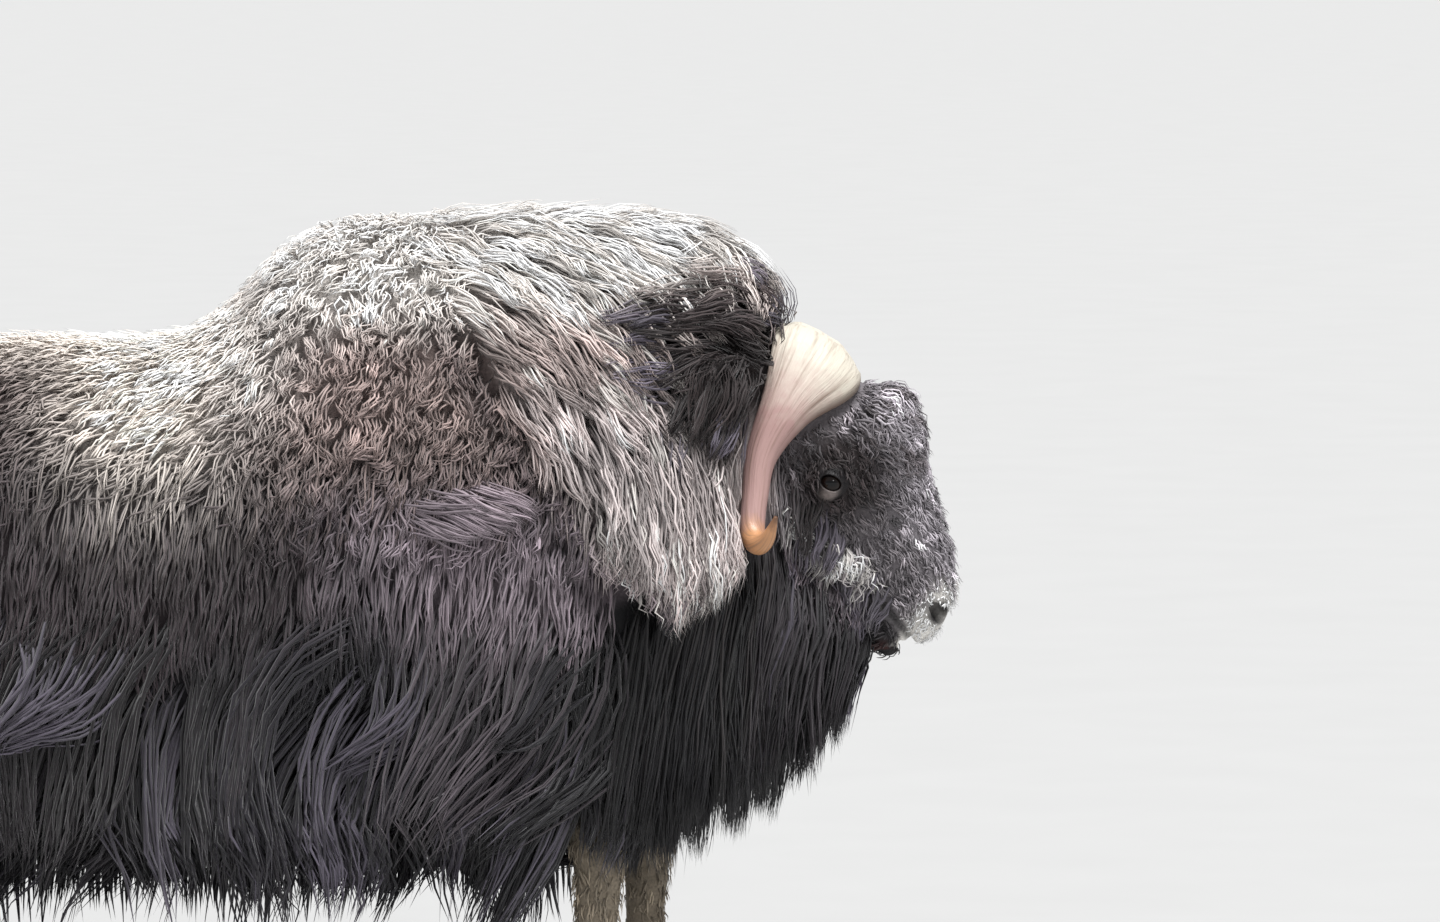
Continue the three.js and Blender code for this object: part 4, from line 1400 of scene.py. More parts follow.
class Owners:
    """The clump and the lock that each strand belongs to, and draws that they share."""

    def __init__(self, clump, lock, clumps, locks):
        self.clump, self.lock = clump, lock
        self.clumps, self.locks = clumps, locks

    def only(self, kept):
        return Owners(self.clump[kept], self.lock[kept], self.clumps, self.locks)

    def by_clump(self, values):
        return values[self.clump]

    def by_lock(self, values):
        return values[self.lock]


def curled(paths, faces, owners, look, draw):
    """Bends each lock to a side, curls its strands, and keeps them inside the box."""
    count, places, _ = paths.shape
    share = np.linspace(0, 1, places)
    across = unit(np.cross(np.gradient(paths, axis=1), faces))
    sweep = owners.by_lock(draw.normal(0, look["sweep"], owners.locks))
    paths = paths + across * (sweep[:, None] * np.sin(share * math.pi * 1.25)[None])[..., None]
    phase = owners.by_clump(draw.random(owners.clumps)) * TURN + draw.normal(0, 0.5, count)
    turns = look["turns"] * (0.8 + 0.4 * owners.by_clump(draw.random(owners.clumps)))
    angle = share[None] * turns[:, None] * TURN + phase[:, None]
    swing = look["wave"] * share[None] ** 0.7
    paths = paths + across * (np.sin(angle) * swing)[..., None]
    paths = paths + faces * ((np.cos(angle) + 0.6) * swing * look["puff"])[..., None]
    paths = paths + draw.normal(0, 1, (count, 1, 3)) * share[None, :, None] * look["stray"]
    low, high = np.array(CAD_BOX[0]) - PAST_BOX, np.array(CAD_BOX[1]) + PAST_BOX
    low[2] = OFF_FLOOR
    return np.clip(paths, low, high)


def strand_tones(hide, pick, owners, look, draw):
    """The marking's colour at each root, a little different by lock, clump and strand."""
    paint = colours()
    depth = owners.by_clump(draw.normal(0, look["clump_shade"], owners.clumps))
    depth = depth + owners.by_lock(draw.normal(0, look["lead_shade"], owners.locks))
    shade = np.exp(depth + draw.normal(0, look["shade"], len(pick)))
    tones = hide.tones[pick]
    if look["paint"]:
        name, amount = look["paint"]
        tones = tones * (1 - amount) + np.array(getattr(paint, name)) * amount
    tones = tones * shade[:, None] * look["gain"]
    if look["second"]:
        name, odds = look["second"]
        chance = owners.by_clump(draw.random(owners.clumps))
        chance = (chance + owners.by_lock(draw.random(owners.locks))) / 2
        blend = np.where(chance < odds, 0.75, 0.0)[:, None]
        if look["where"]:
            blend = blend * look["where"](hide, pick)[:, None]
        tones = tones * (1 - blend) + np.array(getattr(paint, name)) * blend * shade[:, None]
    return tones


def clear_of(paths):
    """True for each strand off the eyes, out of the boss and not over the horn's lower run."""
    starts = paths[:, 1:-1]
    ends = [starts + (paths[:, 2:] - starts) * share for share in (0, 0.25, 0.5, 0.75, 1)]
    ends = np.concatenate(ends, 1) - START
    ends[..., 1] = np.abs(ends[..., 1])
    kept = np.linalg.norm(ends - on_face(*EYE), axis=-1).min(axis=1) > EYE_RADIUS + 0.007
    lean = boss_lean()
    for row in smooth(HORN_ENTRIES, np.linspace(0, 0.62, 14)):
        away = ends - row[:3]
        flat = away @ lean
        across = np.linalg.norm(away - flat[..., None] * lean, axis=-1)
        inside = np.hypot(flat / row[3], across / (row[4] * 1.15))
        kept &= inside.min(axis=1) > 1
    for row in smooth(HORN_ENTRIES, np.linspace(0.30, 0.96, 20)):
        across = np.hypot(ends[..., 0] - row[0], ends[..., 2] - row[2])
        over = (across < row[3]) & (ends[..., 1] > row[1] - row[3])
        kept &= ~over.any(axis=1)
    return kept


def unbroken(paths):
    """True for each strand that never turns back on itself."""
    runs = unit(np.diff(paths, axis=1))
    return np.sum(runs[:, 1:] * runs[:, :-1], axis=-1).min(axis=1) > 0.1


def region_paths(hide, pick, look, draw):
    """The strands' middle lines and the way out of the skin along them, before any curl."""
    count = len(pick)
    local = hide.local[pick]
    side = np.tanh(local[:, 1] / 0.05)
    way, size, lift = look["way"], look["length"], look["lift"]
    if callable(way):
        lie = way(local, side)
    else:
        lie = np.tile(np.array(way, float), (count, 1))
        lie[:, 1] *= side
    lie = unit(unit(lie) + draw.normal(0, look["mess"], (count, 3)))
    size = size(local) if callable(size) else np.full(count, size)
    lengths = size * draw.uniform(*look["spread"], count)
    lift = (lift(hide.own[pick]) if callable(lift) else lift) * draw.uniform(0.55, 1.2, count)
    field = hide.head if look["head"] else hide.body
    return lie_over(field, hide.roots[pick], hide.outs[pick], lie, lengths, lift, look)


# Where each kind of hair grows


def trunk_only(hide):
    """1 on the trunk and neck, and 0 on the head, the legs and bare skin."""
    off_head = 1 - (1 - ease(hide.reach, 1.05, 1.2)) * ease(hide.own[:, 0], -0.02, 0.02)
    return off_head * (1 - hide.leg) * (1 - hide.bare)


def mane_share(spots):
    """1 in front of the mane's rear edge, which fades out along the top of the hump."""
    soft = 0.008 + 0.14 * ease(spots[:, 2] - START[2], 1.16, 1.36)
    ahead = np.clip(past_fold(spots) / soft, -1, 1)
    return ease(ahead, -1, 1)


def on_saddle(hide):
    x, _, z = hide.local.T
    return trunk_only(hide) * (1 - ease(x, -0.60, -0.46)) * ease(z, 0.88, 1.06)


def on_hump(hide):
    x, _, z = hide.local.T
    behind = 1 - mane_share(hide.roots)
    return trunk_only(hide) * ease(x, -0.60, -0.46) * ease(z, 0.80, 0.98) * behind


def on_mane(hide):
    x, _, z = hide.local.T
    off_tuft = 1 - tuft_place(x + 0.02, z - 0.015)
    high = ease(z, 0.96, 1.04) * (1 - ease(x, 0.30, 0.33))
    return trunk_only(hide) * mane_share(hide.roots) * off_tuft * high


def tuft_place(x, z):
    """1 behind the horn, where the dark tuft grows."""
    return np.clip(1.8 * np.exp(-(((x - 0.215) / 0.085) ** 2 + ((z - 1.15) / 0.08) ** 2)), 0, 1)


def on_tuft(hide):
    x, _, z = hide.local.T
    return np.where(x < 0.29, tuft_place(x, z), 0) * (1 - hide.bare)


def on_lobe(hide):
    x, y, z = hide.local.T
    above = ease(z - lobe_edge(hide.local), 0.02, 0.06) * (1 - ease(z, 1.00, 1.06))
    return within(x, 0.00, 0.235, 0.02) * above * (np.abs(y) > 0.10)


def on_flank(hide):
    x, _, z = hide.local.T
    return trunk_only(hide) * (1 - ease(x, -0.02, 0.06)) * within(z, 0.70, 1.00, 0.08)


def on_skirt(hide):
    x, _, z = hide.local.T
    side = ease(np.abs(hide.outs[:, 1]), 0.15, 0.4) + ease(-hide.outs[:, 0], 0.4, 0.8)
    thick_low = within(z, 0.47, 0.78, 0.04) * (1.2 - 0.7 * ease(z, 0.50, 0.75))
    return trunk_only(hide) * (1 - ease(x, 0.02, 0.10)) * thick_low * np.clip(side, 0, 1)


def on_locks(hide):
    """Over the shoulder and the rear of the flank, where the long hair lies in big waves."""
    x, _, z = hide.local.T
    where = within(x, -0.34, 0.00, 0.05) + within(x, -1.15, -0.72, 0.08)
    return trunk_only(hide) * where * within(z, 0.46, 0.74, 0.05) * (np.abs(hide.outs[:, 1]) > 0.3)


def on_rump(hide):
    x, _, z = hide.local.T
    return trunk_only(hide) * (1 - ease(x, -1.44, -1.36)) * ease(z, 0.5, 0.6)


def on_belly(hide):
    z = hide.local[:, 2]
    return trunk_only(hide) * (1 - ease(z, 0.50, 0.56)) * ease(-hide.outs[:, 2], 0.2, 0.5)


def on_beard(hide):
    x, _, z = hide.local.T
    low = 1 - ease(z - (x - 0.12) * 0.5, 0.79, 0.84)
    behind = (1 - ease(hide.own[:, 0], 0.385, 0.41)) * (1 - ease(x, 0.44, 0.46))
    return trunk_only(hide) * ease(x, 0.02, 0.08) * low * behind


def on_cheek(hide):
    along, above, _ = hide.own.T
    inside = (1 - ease(hide.reach, 1.1, 1.3)) * ease(hide.local[:, 0], 0.25, 0.28)
    low = 1 - ease(above - 0.10 * (along - 0.2), -0.07, -0.03)
    clear = (1 - hide.bare) * (1 - curl_line(hide.local))
    return inside * low * within(along, 0.04, 0.36, 0.02) * clear


def on_brow(hide):
    along, above, _ = hide.own.T
    inside = 1 - ease(hide.reach, 1.1, 1.3)
    return inside * ease(above, 0.045, 0.08) * within(along, 0.085, 0.235, 0.012) * (1 - hide.bare)


def on_short_face(hide):
    along, above, _ = hide.own.T
    inside = (1 - ease(hide.reach, 1.1, 1.3)) * ease(hide.local[:, 0], 0.26, 0.30)
    off_nostril = np.linalg.norm(folded(hide.own) - np.array(NOSTRIL), axis=1) > 0.046
    clear = (1 - hide.bare) * off_nostril
    return inside * clear * within(along, 0.03, 0.425, 0.01) * ease(above, -0.10, -0.06)


def off_socket(hide, pick):
    """0 round the eye, where the hair is dark, and 1 elsewhere."""
    return 1 - np.clip(near(folded(hide.own[pick]), np.array(EYE), 0.075) * 1.8, 0, 1)


def on_chin(hide):
    along, above, _ = hide.own.T
    inside = (1 - ease(hide.reach, 1.8, 2.3)) * ease(hide.local[:, 0], 0.33, 0.36)
    low = (1 - ease(above, -0.088, -0.074)) * (1 - hide.bare)
    return inside * within(along, 0.28, 0.450, 0.006) * low


def on_curls(hide):
    return curl_line(hide.local) * (hide.reach < 1.3) * (1 - hide.bare)


def on_muzzle(hide):
    """Round the nostrils, but neither in them nor on the lips."""
    along, above, _ = hide.own.T
    off_hole = np.hypot((along - NOSTRIL[0]) / 0.026, (above - NOSTRIL[1]) / 0.017) > 1
    return (hide.reach < 1.5) * ease(along, 0.375, 0.40) * (above > -0.05) * off_hole


def on_loose_tuft(hide):
    x, _, z = hide.local.T
    return within(x, -0.310, -0.190, 0.02) * within(z - 0.3 * (x + 0.25), 0.905, 0.950, 0.012)


def on_legs(hide):
    return hide.leg * (hide.local[:, 2] > 0.055)


def on_ears(hide):
    x, y, z = hide.local.T
    off_skull = (np.abs(y) > 0.155) * (hide.reach > 1.2)
    return off_skull * within(z, 1.05, 1.20, 0.01) * within(x, 0.14, 0.30, 0.01)


def mane_way(local, side):
    """Forward and down over the neck, and more down lower on its side and near the horns."""
    low = 1 - ease(local[:, 2], 1.00, 1.34)
    front = ease(local[:, 0], 0.10, 0.24)
    ahead = (0.85 - 0.35 * low) * (1 - front) - 0.05 * front
    return np.stack([ahead, side * (0.7 - 0.5 * low), -0.42 - 0.45 * low], 1)


def tuft_way(local, side):
    """Back from the horn, and down below the ear."""
    low = 1 - ease(local[:, 2], 1.06, 1.18)
    return np.stack([-0.9 + 0.55 * low, side * 0.2, -0.10 - 0.8 * low], 1)


def skirt_way(local, side):
    """Down, and trailing back most on the shoulder and the rear of the flank."""
    x = local[:, 0]
    back = 0.20 + 0.80 * within(x, -0.42, -0.02, 0.10) + 0.70 * within(x, -1.30, -0.72, 0.10)
    return np.stack([-back, side * 0.12, -np.ones(len(x))], 1)


def lock_way(local, side):
    """Slanting back and down, and a little differently from place to place."""
    x, z = local[:, 0], local[:, 2]
    back = -0.80 + 0.15 * np.sin(x * 19 + z * 11)
    return np.stack([back, side * 0.1, np.full(len(x), -0.95)], 1)


def brow_lift(own):
    """The pad stands out most over the eyes and thins out down the face."""
    return 0.004 + 0.018 * (1 - ease(own[:, 0], 0.13, 0.22))


def brow_way(_, side):
    """Forward off the boss and a little down."""
    return np.stack([np.full(len(side), 0.8), side * 0.3, np.full(len(side), -0.25)], 1)


def lobe_edge(local):
    """The lobe's slanting lower edge, which comes to a point."""
    return np.interp(local[:, 0], [-0.02, 0.10, 0.16, 0.235], [0.86, 0.715, 0.76, 0.86])


def lobe_length(local):
    """How long hair must be to reach from its root to the lobe's lower edge."""
    return np.clip(local[:, 2] - lobe_edge(local), 0.03, 0.22)


def saddle_way(_, side):
    """Back, and down to each side."""
    return np.stack([np.full(len(side), -0.8), side * 0.6, np.full(len(side), -0.45)], 1)


def face_way(_, side):
    """Down the face towards the nose."""
    ahead, down = math.cos(HEAD_PITCH), -math.sin(HEAD_PITCH) - 0.2
    return np.stack([np.full(len(side), ahead), side * 0.25, np.full(len(side), down)], 1)


# Operators

# The stage: how far off the camera stands, how it looks down, how wide a stretch it shows there,
# and what it aims at, ahead of the right forefoot and above the floor
CAMERA_AWAY, CAMERA_LEAN = 14, math.radians(4)
SENSOR, PICTURE_WIDTH = 36, 2.304
AIM_AHEAD, AIM_HEIGHT = 0.195, 0.970
FLOOR_HALF = 400


class MUSKOX_OT_stage(bpy.types.Operator):
    """Adds the camera, the pale floor and the soft studio light"""

    bl_idname = "muskox.stage"
    bl_label = "Stage"

    def execute(self, context):
        self.camera(context)
        shape = bmesh.new()
        bmesh.ops.create_grid(shape, x_segments=4, y_segments=4, size=FLOOR_HALF)
        floor = link("floor", to_mesh("floor", shape), ground_finish(), rides=False)
        self.key(context)
        self.fill(context)
        self.sky(context)
        return {"FINISHED"}

    def place(self, context, data, spot, towards):
        """Adds a camera or a lamp at a spot, facing along a direction."""
        made = bpy.data.objects.new(data.name, data)
        context.scene.collection.objects.link(made)
        made.location = spot
        made.rotation_euler = towards.to_track_quat("-Z", "Y").to_euler()
        return made

    def camera(self, context):
        data = bpy.data.cameras.new("camera")
        data.sensor_width = SENSOR
        data.lens = SENSOR * CAMERA_AWAY / PICTURE_WIDTH
        data.clip_end = 900
        aim = Vector((START[0] + AIM_AHEAD, START[1], AIM_HEIGHT))
        back = Vector((0, -math.cos(CAMERA_LEAN), math.sin(CAMERA_LEAN)))
        context.scene.camera = self.place(context, data, aim + back * CAMERA_AWAY, -back)

    def key(self, context):
        data = bpy.data.lights.new("key", "SUN")
        data.energy = 4.4
        data.angle = math.radians(28)
        self.place(context, data, (0, 0, 0), Vector((-0.16, 0.26, -1.0)))

    def fill(self, context):
        data = bpy.data.lights.new("fill", "AREA")
        data.size = 1.8
        data.energy = 130
        spot = Vector((5.6, -10.5, 5.4))
        self.place(context, data, spot, Vector((0, 0, 0.8)) - spot)

    def sky(self, context):
        world = bpy.data.worlds.new("sky")
        world.use_nodes = True
        background = world.node_tree.nodes["Background"]
        background.inputs["Color"].default_value = (0.96, 0.97, 1.0, 1)
        background.inputs["Strength"].default_value = 0.46
        context.scene.world = world
        context.scene.view_settings.view_transform = "Standard"


class MUSKOX_OT_skin(bpy.types.Operator):
    """Builds the one skin of body, head, ears, legs and tail"""

    bl_idname = "muskox.skin"
    bl_label = "Skin"

    def execute(self, context):
        mesh = joined(body_mesh(), head_mesh(), "UNION")
        if len(mesh.polygons) < 1000:
            raise RuntimeError("the skin could not be joined")
        mesh.name = "skin"
        paint_skin(mesh)
        add_map(mesh, unwrap(places_of(mesh)))
        skin = link("skin", mesh, skin_finish())
        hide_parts("rump", "barrel", "shoulders", "neck", "head", "tail")
        for _, name in SIDES:
            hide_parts(f"ear_{name}", f"foreleg_{name}", f"hind_leg_{name}")
        HIDE["skin"] = Hide(mesh)
        return {"FINISHED"}


class MUSKOX_OT_eyes(bpy.types.Operator):
    """Builds both eyes with their level pupils"""

    bl_idname = "muskox.eyes"
    bl_label = "Eyes"

    def execute(self, context):
        finish = eye_finish()
        for side, name in SIDES:
            shape = bmesh.new()
            centre = on_face(EYE[0], EYE[1], side * EYE[2])
            ball(shape, centre, [EYE_RADIUS] * 3, detail=48)
            mesh = to_mesh(f"eyeball_{name}", shape)
            spots = places_of(mesh)
            away = (spots - START - centre) / EYE_RADIUS
            iris = np.hypot(away[:, 0] * 0.75, away[:, 2] * 1.5)
            iris = np.where(away[:, 1] * side > 0, iris, 1.0)
            store(mesh, "Iris", "FLOAT", np.clip(iris, 0, 1))
            piece = link(f"eyeball_{name}", mesh, finish)
            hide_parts(f"eye_{name}")
        return {"FINISHED"}


class MUSKOX_OT_horns(bpy.types.Operator):
    """Builds both horns, from the ridged boss to the smooth turned-up tip"""

    bl_idname = "muskox.horns"
    bl_label = "Horns"
    WAVES = (3, 7, 13)

    def execute(self, context):
        finish = horn_finish()
        for side, name in SIDES:
            mesh = self.build(side, name)
            piece = link(f"horn_shell_{name}", mesh, finish)
            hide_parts(f"horn_{name}")
        return {"FINISHED"}

    def build(self, side, name):
        shares = np.linspace(0, 1, 96)
        rows = smooth(np.array(HORN_ENTRIES) * [1, side, 1, 1, 1], shares)
        runs = unit(np.gradient(rows[:, :3], axis=0))
        ridges = np.random.default_rng(sizes().seed).normal(0, 1, (len(self.WAVES), 8))
        shape = bmesh.new()
        loops, along, grain = [], [], []
        for share, row, run in zip(shares, rows, runs):
            flat = unit(boss_lean() - run * (run @ boss_lean()))
            face = np.cross(run, flat)
            coarse = 1 - float(ease(np.array(share), 0.25, 0.60))
            places = []
            for turn in turns_of(44):
                reach = 1 + 0.045 * self.rough(turn, share, ridges) * coarse
                place = row[:3] + flat * row[3] * math.cos(turn) * reach
                places.append(place + face * row[4] * math.sin(turn) * reach)
                along.append(share)
                grain.append((math.cos(turn) * 5, math.sin(turn) * 5, share * 5))
            loops.append(ring(shape, places))
        bridge(shape, loops)
        mesh = to_mesh(f"horn_shell_{name}", shape)
        store(mesh, "Along", "FLOAT", along)
        store(mesh, "Grain", "FLOAT_VECTOR", grain)
        return mesh

    def rough(self, turn, share, ridges):
        """How far the boss's ridges stand out at a place round the horn and along it."""
        total = 0.0
        for wave, row in zip(self.WAVES, ridges):
            total += row[0] * 0.5 * math.sin(wave * turn + row[1] + share * (6 + 3 * row[2]))
        return total


class MUSKOX_OT_hooves(bpy.types.Operator):
    """Builds the four cloven hooves with their dewclaws"""

    bl_idname = "muskox.hooves"
    bl_label = "Hooves"

    def execute(self, context):
        finish = hoof_finish()
        for side, name in SIDES:
            self.hoof("fore", name, FORE_X[name] + 0.014, side * FORE_Y, 0.122, finish)
            self.hoof("hind", name, HIND_X[name] + 0.006, side * HIND_Y, 0.112, finish)
        return {"FINISHED"}

    def hoof(self, end, name, x, y, long, finish):
        """Two claws under a soft coronet, with two dewclaws behind."""
        shape = bmesh.new()
        for side in (-1, 1):
            claw = Loft(
                [
                    level(0.000, x + 0.008, long * 0.54, long * 0.38, 0.0240, y + side * 0.030),
                    level(0.004, x + 0.008, long * 0.56, long * 0.40, 0.0255, y + side * 0.030),
                    level(0.022, x + 0.004, long * 0.55, long * 0.42, 0.0275, y + side * 0.0295),
                    level(0.052, x - 0.002, long * 0.40, long * 0.40, 0.0250, y + side * 0.027),
                    level(0.066, x + 0.003, 0.034, 0.040, 0.0200, y + side * 0.022),
                ]
            )
            claw.build(shape, 28, 20, ends=(0, 1))
            ball(shape, np.array([x - 0.046, y + side * 0.024, 0.058]), (0.014, 0.010, 0.017))
        coronet = Loft(
            [
                level(0.034, x, 0.026, 0.030, 0.018, y),
                level(0.048, x + 0.001, 0.036, 0.040, 0.038, y),
                level(0.072, x + 0.005, 0.041, 0.044, 0.043, y),
            ]
        )
        coronet.build(shape, 28, 10, ends=(0, 1))
        made = remeshed(to_mesh(f"{end}_claws_{name}", shape), HOOF_VOXEL, 2)
        piece = link(f"{end}_claws_{name}", made, finish)
        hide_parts(f"{end}_hoof_{name}")


class MUSKOX_OT_wool(bpy.types.Operator):
    """Grows the wool of the saddle, the hump and the flanks"""

    bl_idname = "muskox.wool"
    bl_label = "Wool of the back"

    def execute(self, context):
        finish = coat_finish("wool", 0.80, 0.15)
        grow_coat(
            "saddle_wool", "saddle_coat", finish, on_saddle, 7600,
            way=saddle_way, length=0.060, lift=0.026, wave=0.003, turns=1.2, gather=0.35, clump=5,
            mess=0.35, steps=4, width=0.0038, shade=0.10, clump_shade=0.10, lead_shade=0.08, gain=1.15,
        )
        grow_coat(
            "hump_wool", "mane_coat", finish, on_hump, 8800,
            way=(-0.15, 0.35, -0.9), length=0.050, lift=0.030, wave=0.006, turns=1.2, gather=0.75, clump=7,
            mess=0.40, clump_shade=0.18, steps=4, stray=0.003, width=0.0032, gain=1.06,
        )
        grow_coat(
            "flank_wool", "dark_coat", finish, on_flank, 8200,
            way=(-0.12, 0.1, -1.0), length=0.11, lift=0.026, wave=0.005, turns=1.0, gather=0.55, clump=7,
            mess=0.12, clump_shade=0.13, lead_shade=0.08, steps=4, width=0.0034,
        )
        grow_coat(
            "loose_tuft", "dark_coat", finish, on_loose_tuft, 460,
            way=(1.0, 0.0, -0.32), length=0.12, lift=0.046, wave=0.006, turns=0.8, gather=0.72, clump=26,
            steps=6, mess=0.14, second=("shoulder", 0.6), hang=0, hug=0.9, width=0.0034,
        )
        return {"FINISHED"}


class MUSKOX_OT_mane(bpy.types.Operator):
    """Grows the mane of the neck, the dark tuft round the ear and the lobe behind the horn"""

    bl_idname = "muskox.mane"
    bl_label = "Mane"

    def execute(self, context):
        finish = coat_finish("mane", 0.74, 0.15)
        # Some clumps of the mane take the rim colour, a painted highlight
        grow_coat(
            "neck_mane", "mane_coat", finish, on_mane, 6600,
            way=mane_way, length=0.110, lift=0.036, wave=0.006, turns=1.2, gather=0.80, clump=10,
            mess=0.10, steps=5, width=0.0034, clump_shade=0.26, second=("rim", 0.26), gain=1.08,
        )
        grow_coat(
            # Some clumps of the ear tuft take the sheen colour, a painted sheen
            "ear_tuft", "mane_coat", finish, on_tuft, 2000,
            way=tuft_way, length=0.12, lift=0.046, wave=0.006, turns=0.9, gather=0.8, clump=12,
            steps=5, clump_shade=0.35, second=("sheen", 0.30), mess=0.05, width=0.0036,
        )
        grow_coat(
            # Some clumps of the lobe take the rim colour, a painted highlight
            "neck_lobe", "mane_coat", finish, on_lobe, 3000,
            way=(0.14, 0.05, -1.0), length=lobe_length, lift=0.052, wave=0.008, turns=2.2, gather=0.65,
            clump=8, steps=6, clump_shade=0.34, second=("rim", 0.3), hug=0.8, mess=0.08, width=0.0034,
        )
        return {"FINISHED"}


class MUSKOX_OT_skirt(bpy.types.Operator):
    """Grows the long hair of the sides, rump and belly"""

    bl_idname = "muskox.skirt"
    bl_label = "Skirt"

    def execute(self, context):
        finish = coat_finish("long_hair", 0.50, 0.18)
        grow_coat(
            # Some clumps of the side skirt take the sheen colour, a painted sheen
            "side_skirt", "dark_coat", finish, on_skirt, 5600,
            way=skirt_way, length=to_hem, lift=0.046, wave=0.012, turns=1.3, gather=0.80, clump=16,
            bundle=5, bundle_gather=0.75, sweep=0.048, steps=7, width=0.0054, clump_shade=0.25,
            lead_shade=0.36, second=("sheen", 0.34), paint=("skirt", 0.6), hug=0.25,
            spread=(0.60, 1.06),
        )
        grow_coat(
            # Some clumps of the side locks take the sheen colour, a painted sheen
            "side_locks", "dark_coat", finish, on_locks, 1700, paint=("skirt", 0.7),
            way=lock_way, length=0.27, lift=0.056, wave=0.014, turns=1.2, gather=0.88, clump=30,
            bundle=3, bundle_gather=0.2, sweep=0.02, steps=8, width=0.0050, clump_shade=0.30,
            second=("sheen", 0.44), mess=0.08, hug=0.35, hang=0.6, spread=(0.6, 1.0), puff=0.9,
        )
        grow_coat(
            "rump_hair", "dark_coat", finish, on_rump, 2200,
            way=(-0.15, 0.1, -1.0), length=0.25, lift=0.036, wave=0.014, turns=1.3, gather=0.75, clump=16,
            bundle_gather=0.6, steps=5, width=0.0046, clump_shade=0.3, spread=(0.6, 1.1),
        )
        grow_coat(
            "belly_hair", "dark_coat", finish, on_belly, 1600,
            way=(-0.2, 0.1, -1.0), length=to_hem, lift=0.02, wave=0.012, turns=1.0, gather=0.7, clump=12,
            bundle_gather=0.6, steps=4, width=0.0075, clump_shade=0.3, spread=(0.5, 0.9),
        )
        return {"FINISHED"}


class MUSKOX_OT_beard(bpy.types.Operator):
    """Grows the beard under the throat and the hair of the cheeks and chin"""

    bl_idname = "muskox.beard"
    bl_label = "Beard"

    def execute(self, context):
        finish = coat_finish("beard_hair", 0.56, 0.10)
        grow_coat(
            # Some clumps of the beard take the sheen colour, a painted sheen
            "throat_beard", "dark_coat", finish, on_beard, 4300,
            way=(-0.22, 0.05, -1.0), length=to_hem, lift=0.024, wave=0.010, turns=1.2, gather=0.78,
            clump=14, bundle=4, bundle_gather=0.5, steps=5, width=0.0042, clump_shade=0.34,
            second=("sheen", 0.14), hug=0.4, spread=(0.66, 1.08), paint=("beard", 0.9),
        )
        grow_coat(
            # Some clumps of the cheek hair take the sheen colour, a painted sheen
            "cheek_hair", "dark_coat", finish, on_cheek, 1500,
            way=(-0.28, 0.05, -1.0), length=0.085, lift=0.014, wave=0.006, turns=1.2, gather=0.7,
            clump=10, steps=5, head=True, second=("sheen", 0.34),
        )
        grow_coat(
            "chin_hair", "dark_coat", finish, on_chin, 600,
            way=(-0.8, 0.05, -0.5), length=0.015, lift=0.005, wave=0.001, gather=0.5, clump=7,
            head=True, steps=4, width=0.0034, hang=0, hug=0.9,
        )
        return {"FINISHED"}


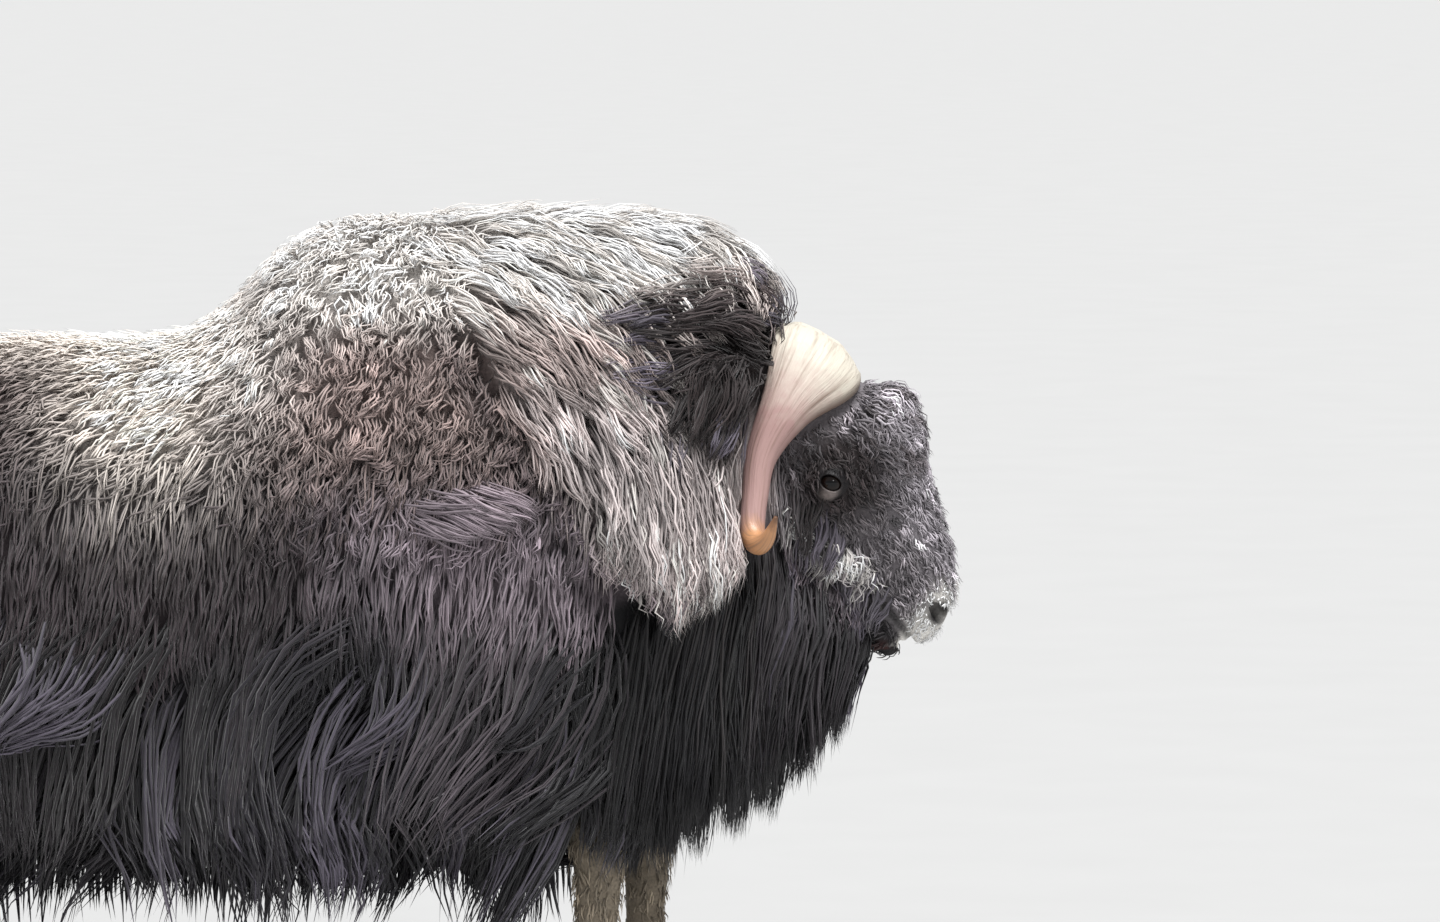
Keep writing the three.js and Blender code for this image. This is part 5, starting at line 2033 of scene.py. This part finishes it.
class MUSKOX_OT_face_hair(bpy.types.Operator):
    """Grows the brow pad, the pale curls and the short hair of the face and ears"""

    bl_idname = "muskox.face_hair"
    bl_label = "Face hair"

    def execute(self, context):
        finish = coat_finish("face_hair", 0.76, 0.12)
        grow_coat(
            "brow_pad", "mane_coat", finish, on_brow, 2600,
            way=brow_way, length=0.048, lift=brow_lift, wave=0.007, turns=1.6, gather=0.75, clump=10,
            head=True, steps=5, width=0.0040, clump_shade=0.40, mess=0.40, hang=0.2, hug=0.9,
            second=("tuft", 0.30),
        )
        grow_coat(
            "face_curls", "dark_coat", finish, on_short_face, 6000,
            way=face_way, length=0.022, lift=0.006, wave=0.003, turns=1.0, gather=0.6, clump=8,
            head=True, steps=3, width=0.0028, clump_shade=0.34, mess=0.40, hang=0.2,
            second=("brow", 0.34), where=off_socket,
        )
        grow_coat(
            "cheek_curls", "dark_coat", finish, on_curls, 1100, gain=1.15,
            way=(0.3, 0.2, -0.8), length=0.042, lift=0.022, wave=0.010, turns=1.5, gather=0.7, clump=12,
            head=True, steps=5, width=0.0034, clump_shade=0.25, mess=0.5, hang=0.2,
        )
        grow_coat(
            "muzzle_down", "dark_coat", finish, on_muzzle, 1300,
            way=(-0.5, 0.4, -0.4), length=0.007, lift=0.002, wave=0.001, gather=0.3, head=True,
            steps=3, width=0.0024, gain=2.8, mess=0.3, hang=0.0,
        )
        grow_coat(
            "ear_fringe", "mane_coat", finish, on_ears, 1200,
            way=(-0.5, 0.9, -0.2), length=0.045, lift=0.006, wave=0.003, gather=0.5, clump=7,
            head=True, steps=3, width=0.0030, hang=0.3,
        )
        return {"FINISHED"}


class MUSKOX_OT_leg_hair(bpy.types.Operator):
    """Grows the short pale hair of the legs"""

    bl_idname = "muskox.leg_hair"
    bl_label = "Leg hair"

    def execute(self, context):
        finish = coat_finish("leg_hair", 0.8, 0.1)
        grow_coat(
            "leg_fur", "leg_hair", finish, on_legs, 3800,
            way=(0.0, 0.0, -1.0), length=0.030, lift=0.005, wave=0.002, gather=0.4, clump=6,
            steps=3, width=0.0034, mess=0.2, hang=0.0,
        )
        return {"FINISHED"}


STEPS = (
    MUSKOX_OT_stage,
    MUSKOX_OT_skin,
    MUSKOX_OT_eyes,
    MUSKOX_OT_horns,
    MUSKOX_OT_hooves,
    MUSKOX_OT_wool,
    MUSKOX_OT_mane,
    MUSKOX_OT_skirt,
    MUSKOX_OT_beard,
    MUSKOX_OT_face_hair,
    MUSKOX_OT_leg_hair,
)


class MUSKOX_PT_panel(bpy.types.Panel):
    """The steps that build the muskox, and its sizes and colours"""

    bl_idname = "MUSKOX_PT_panel"
    bl_label = "Muskox"
    bl_space_type = "VIEW_3D"
    bl_region_type = "UI"
    bl_category = "Muskox"

    def draw(self, context):
        for step in STEPS:
            self.layout.operator(step.bl_idname)
        for group in (context.scene.muskox_sizes, context.scene.muskox_colours):
            box = self.layout.box()
            for name in group.bl_rna.properties.keys():
                if name not in ("rna_type", "name"):
                    box.prop(group, name)


CLASSES = (MuskoxSizes, MuskoxColours, *STEPS, MUSKOX_PT_panel)


def register():
    for each in CLASSES:
        bpy.utils.register_class(each)
    bpy.types.Scene.muskox_sizes = bpy.props.PointerProperty(type=MuskoxSizes)
    bpy.types.Scene.muskox_colours = bpy.props.PointerProperty(type=MuskoxColours)


def unregister():
    del bpy.types.Scene.muskox_colours
    del bpy.types.Scene.muskox_sizes
    for each in reversed(CLASSES):
        bpy.utils.unregister_class(each)


def main():
    register()
    for step in STEPS:
        group, name = step.bl_idname.split(".")
        getattr(getattr(bpy.ops, group), name)()


if __name__ == "__main__":
    main()
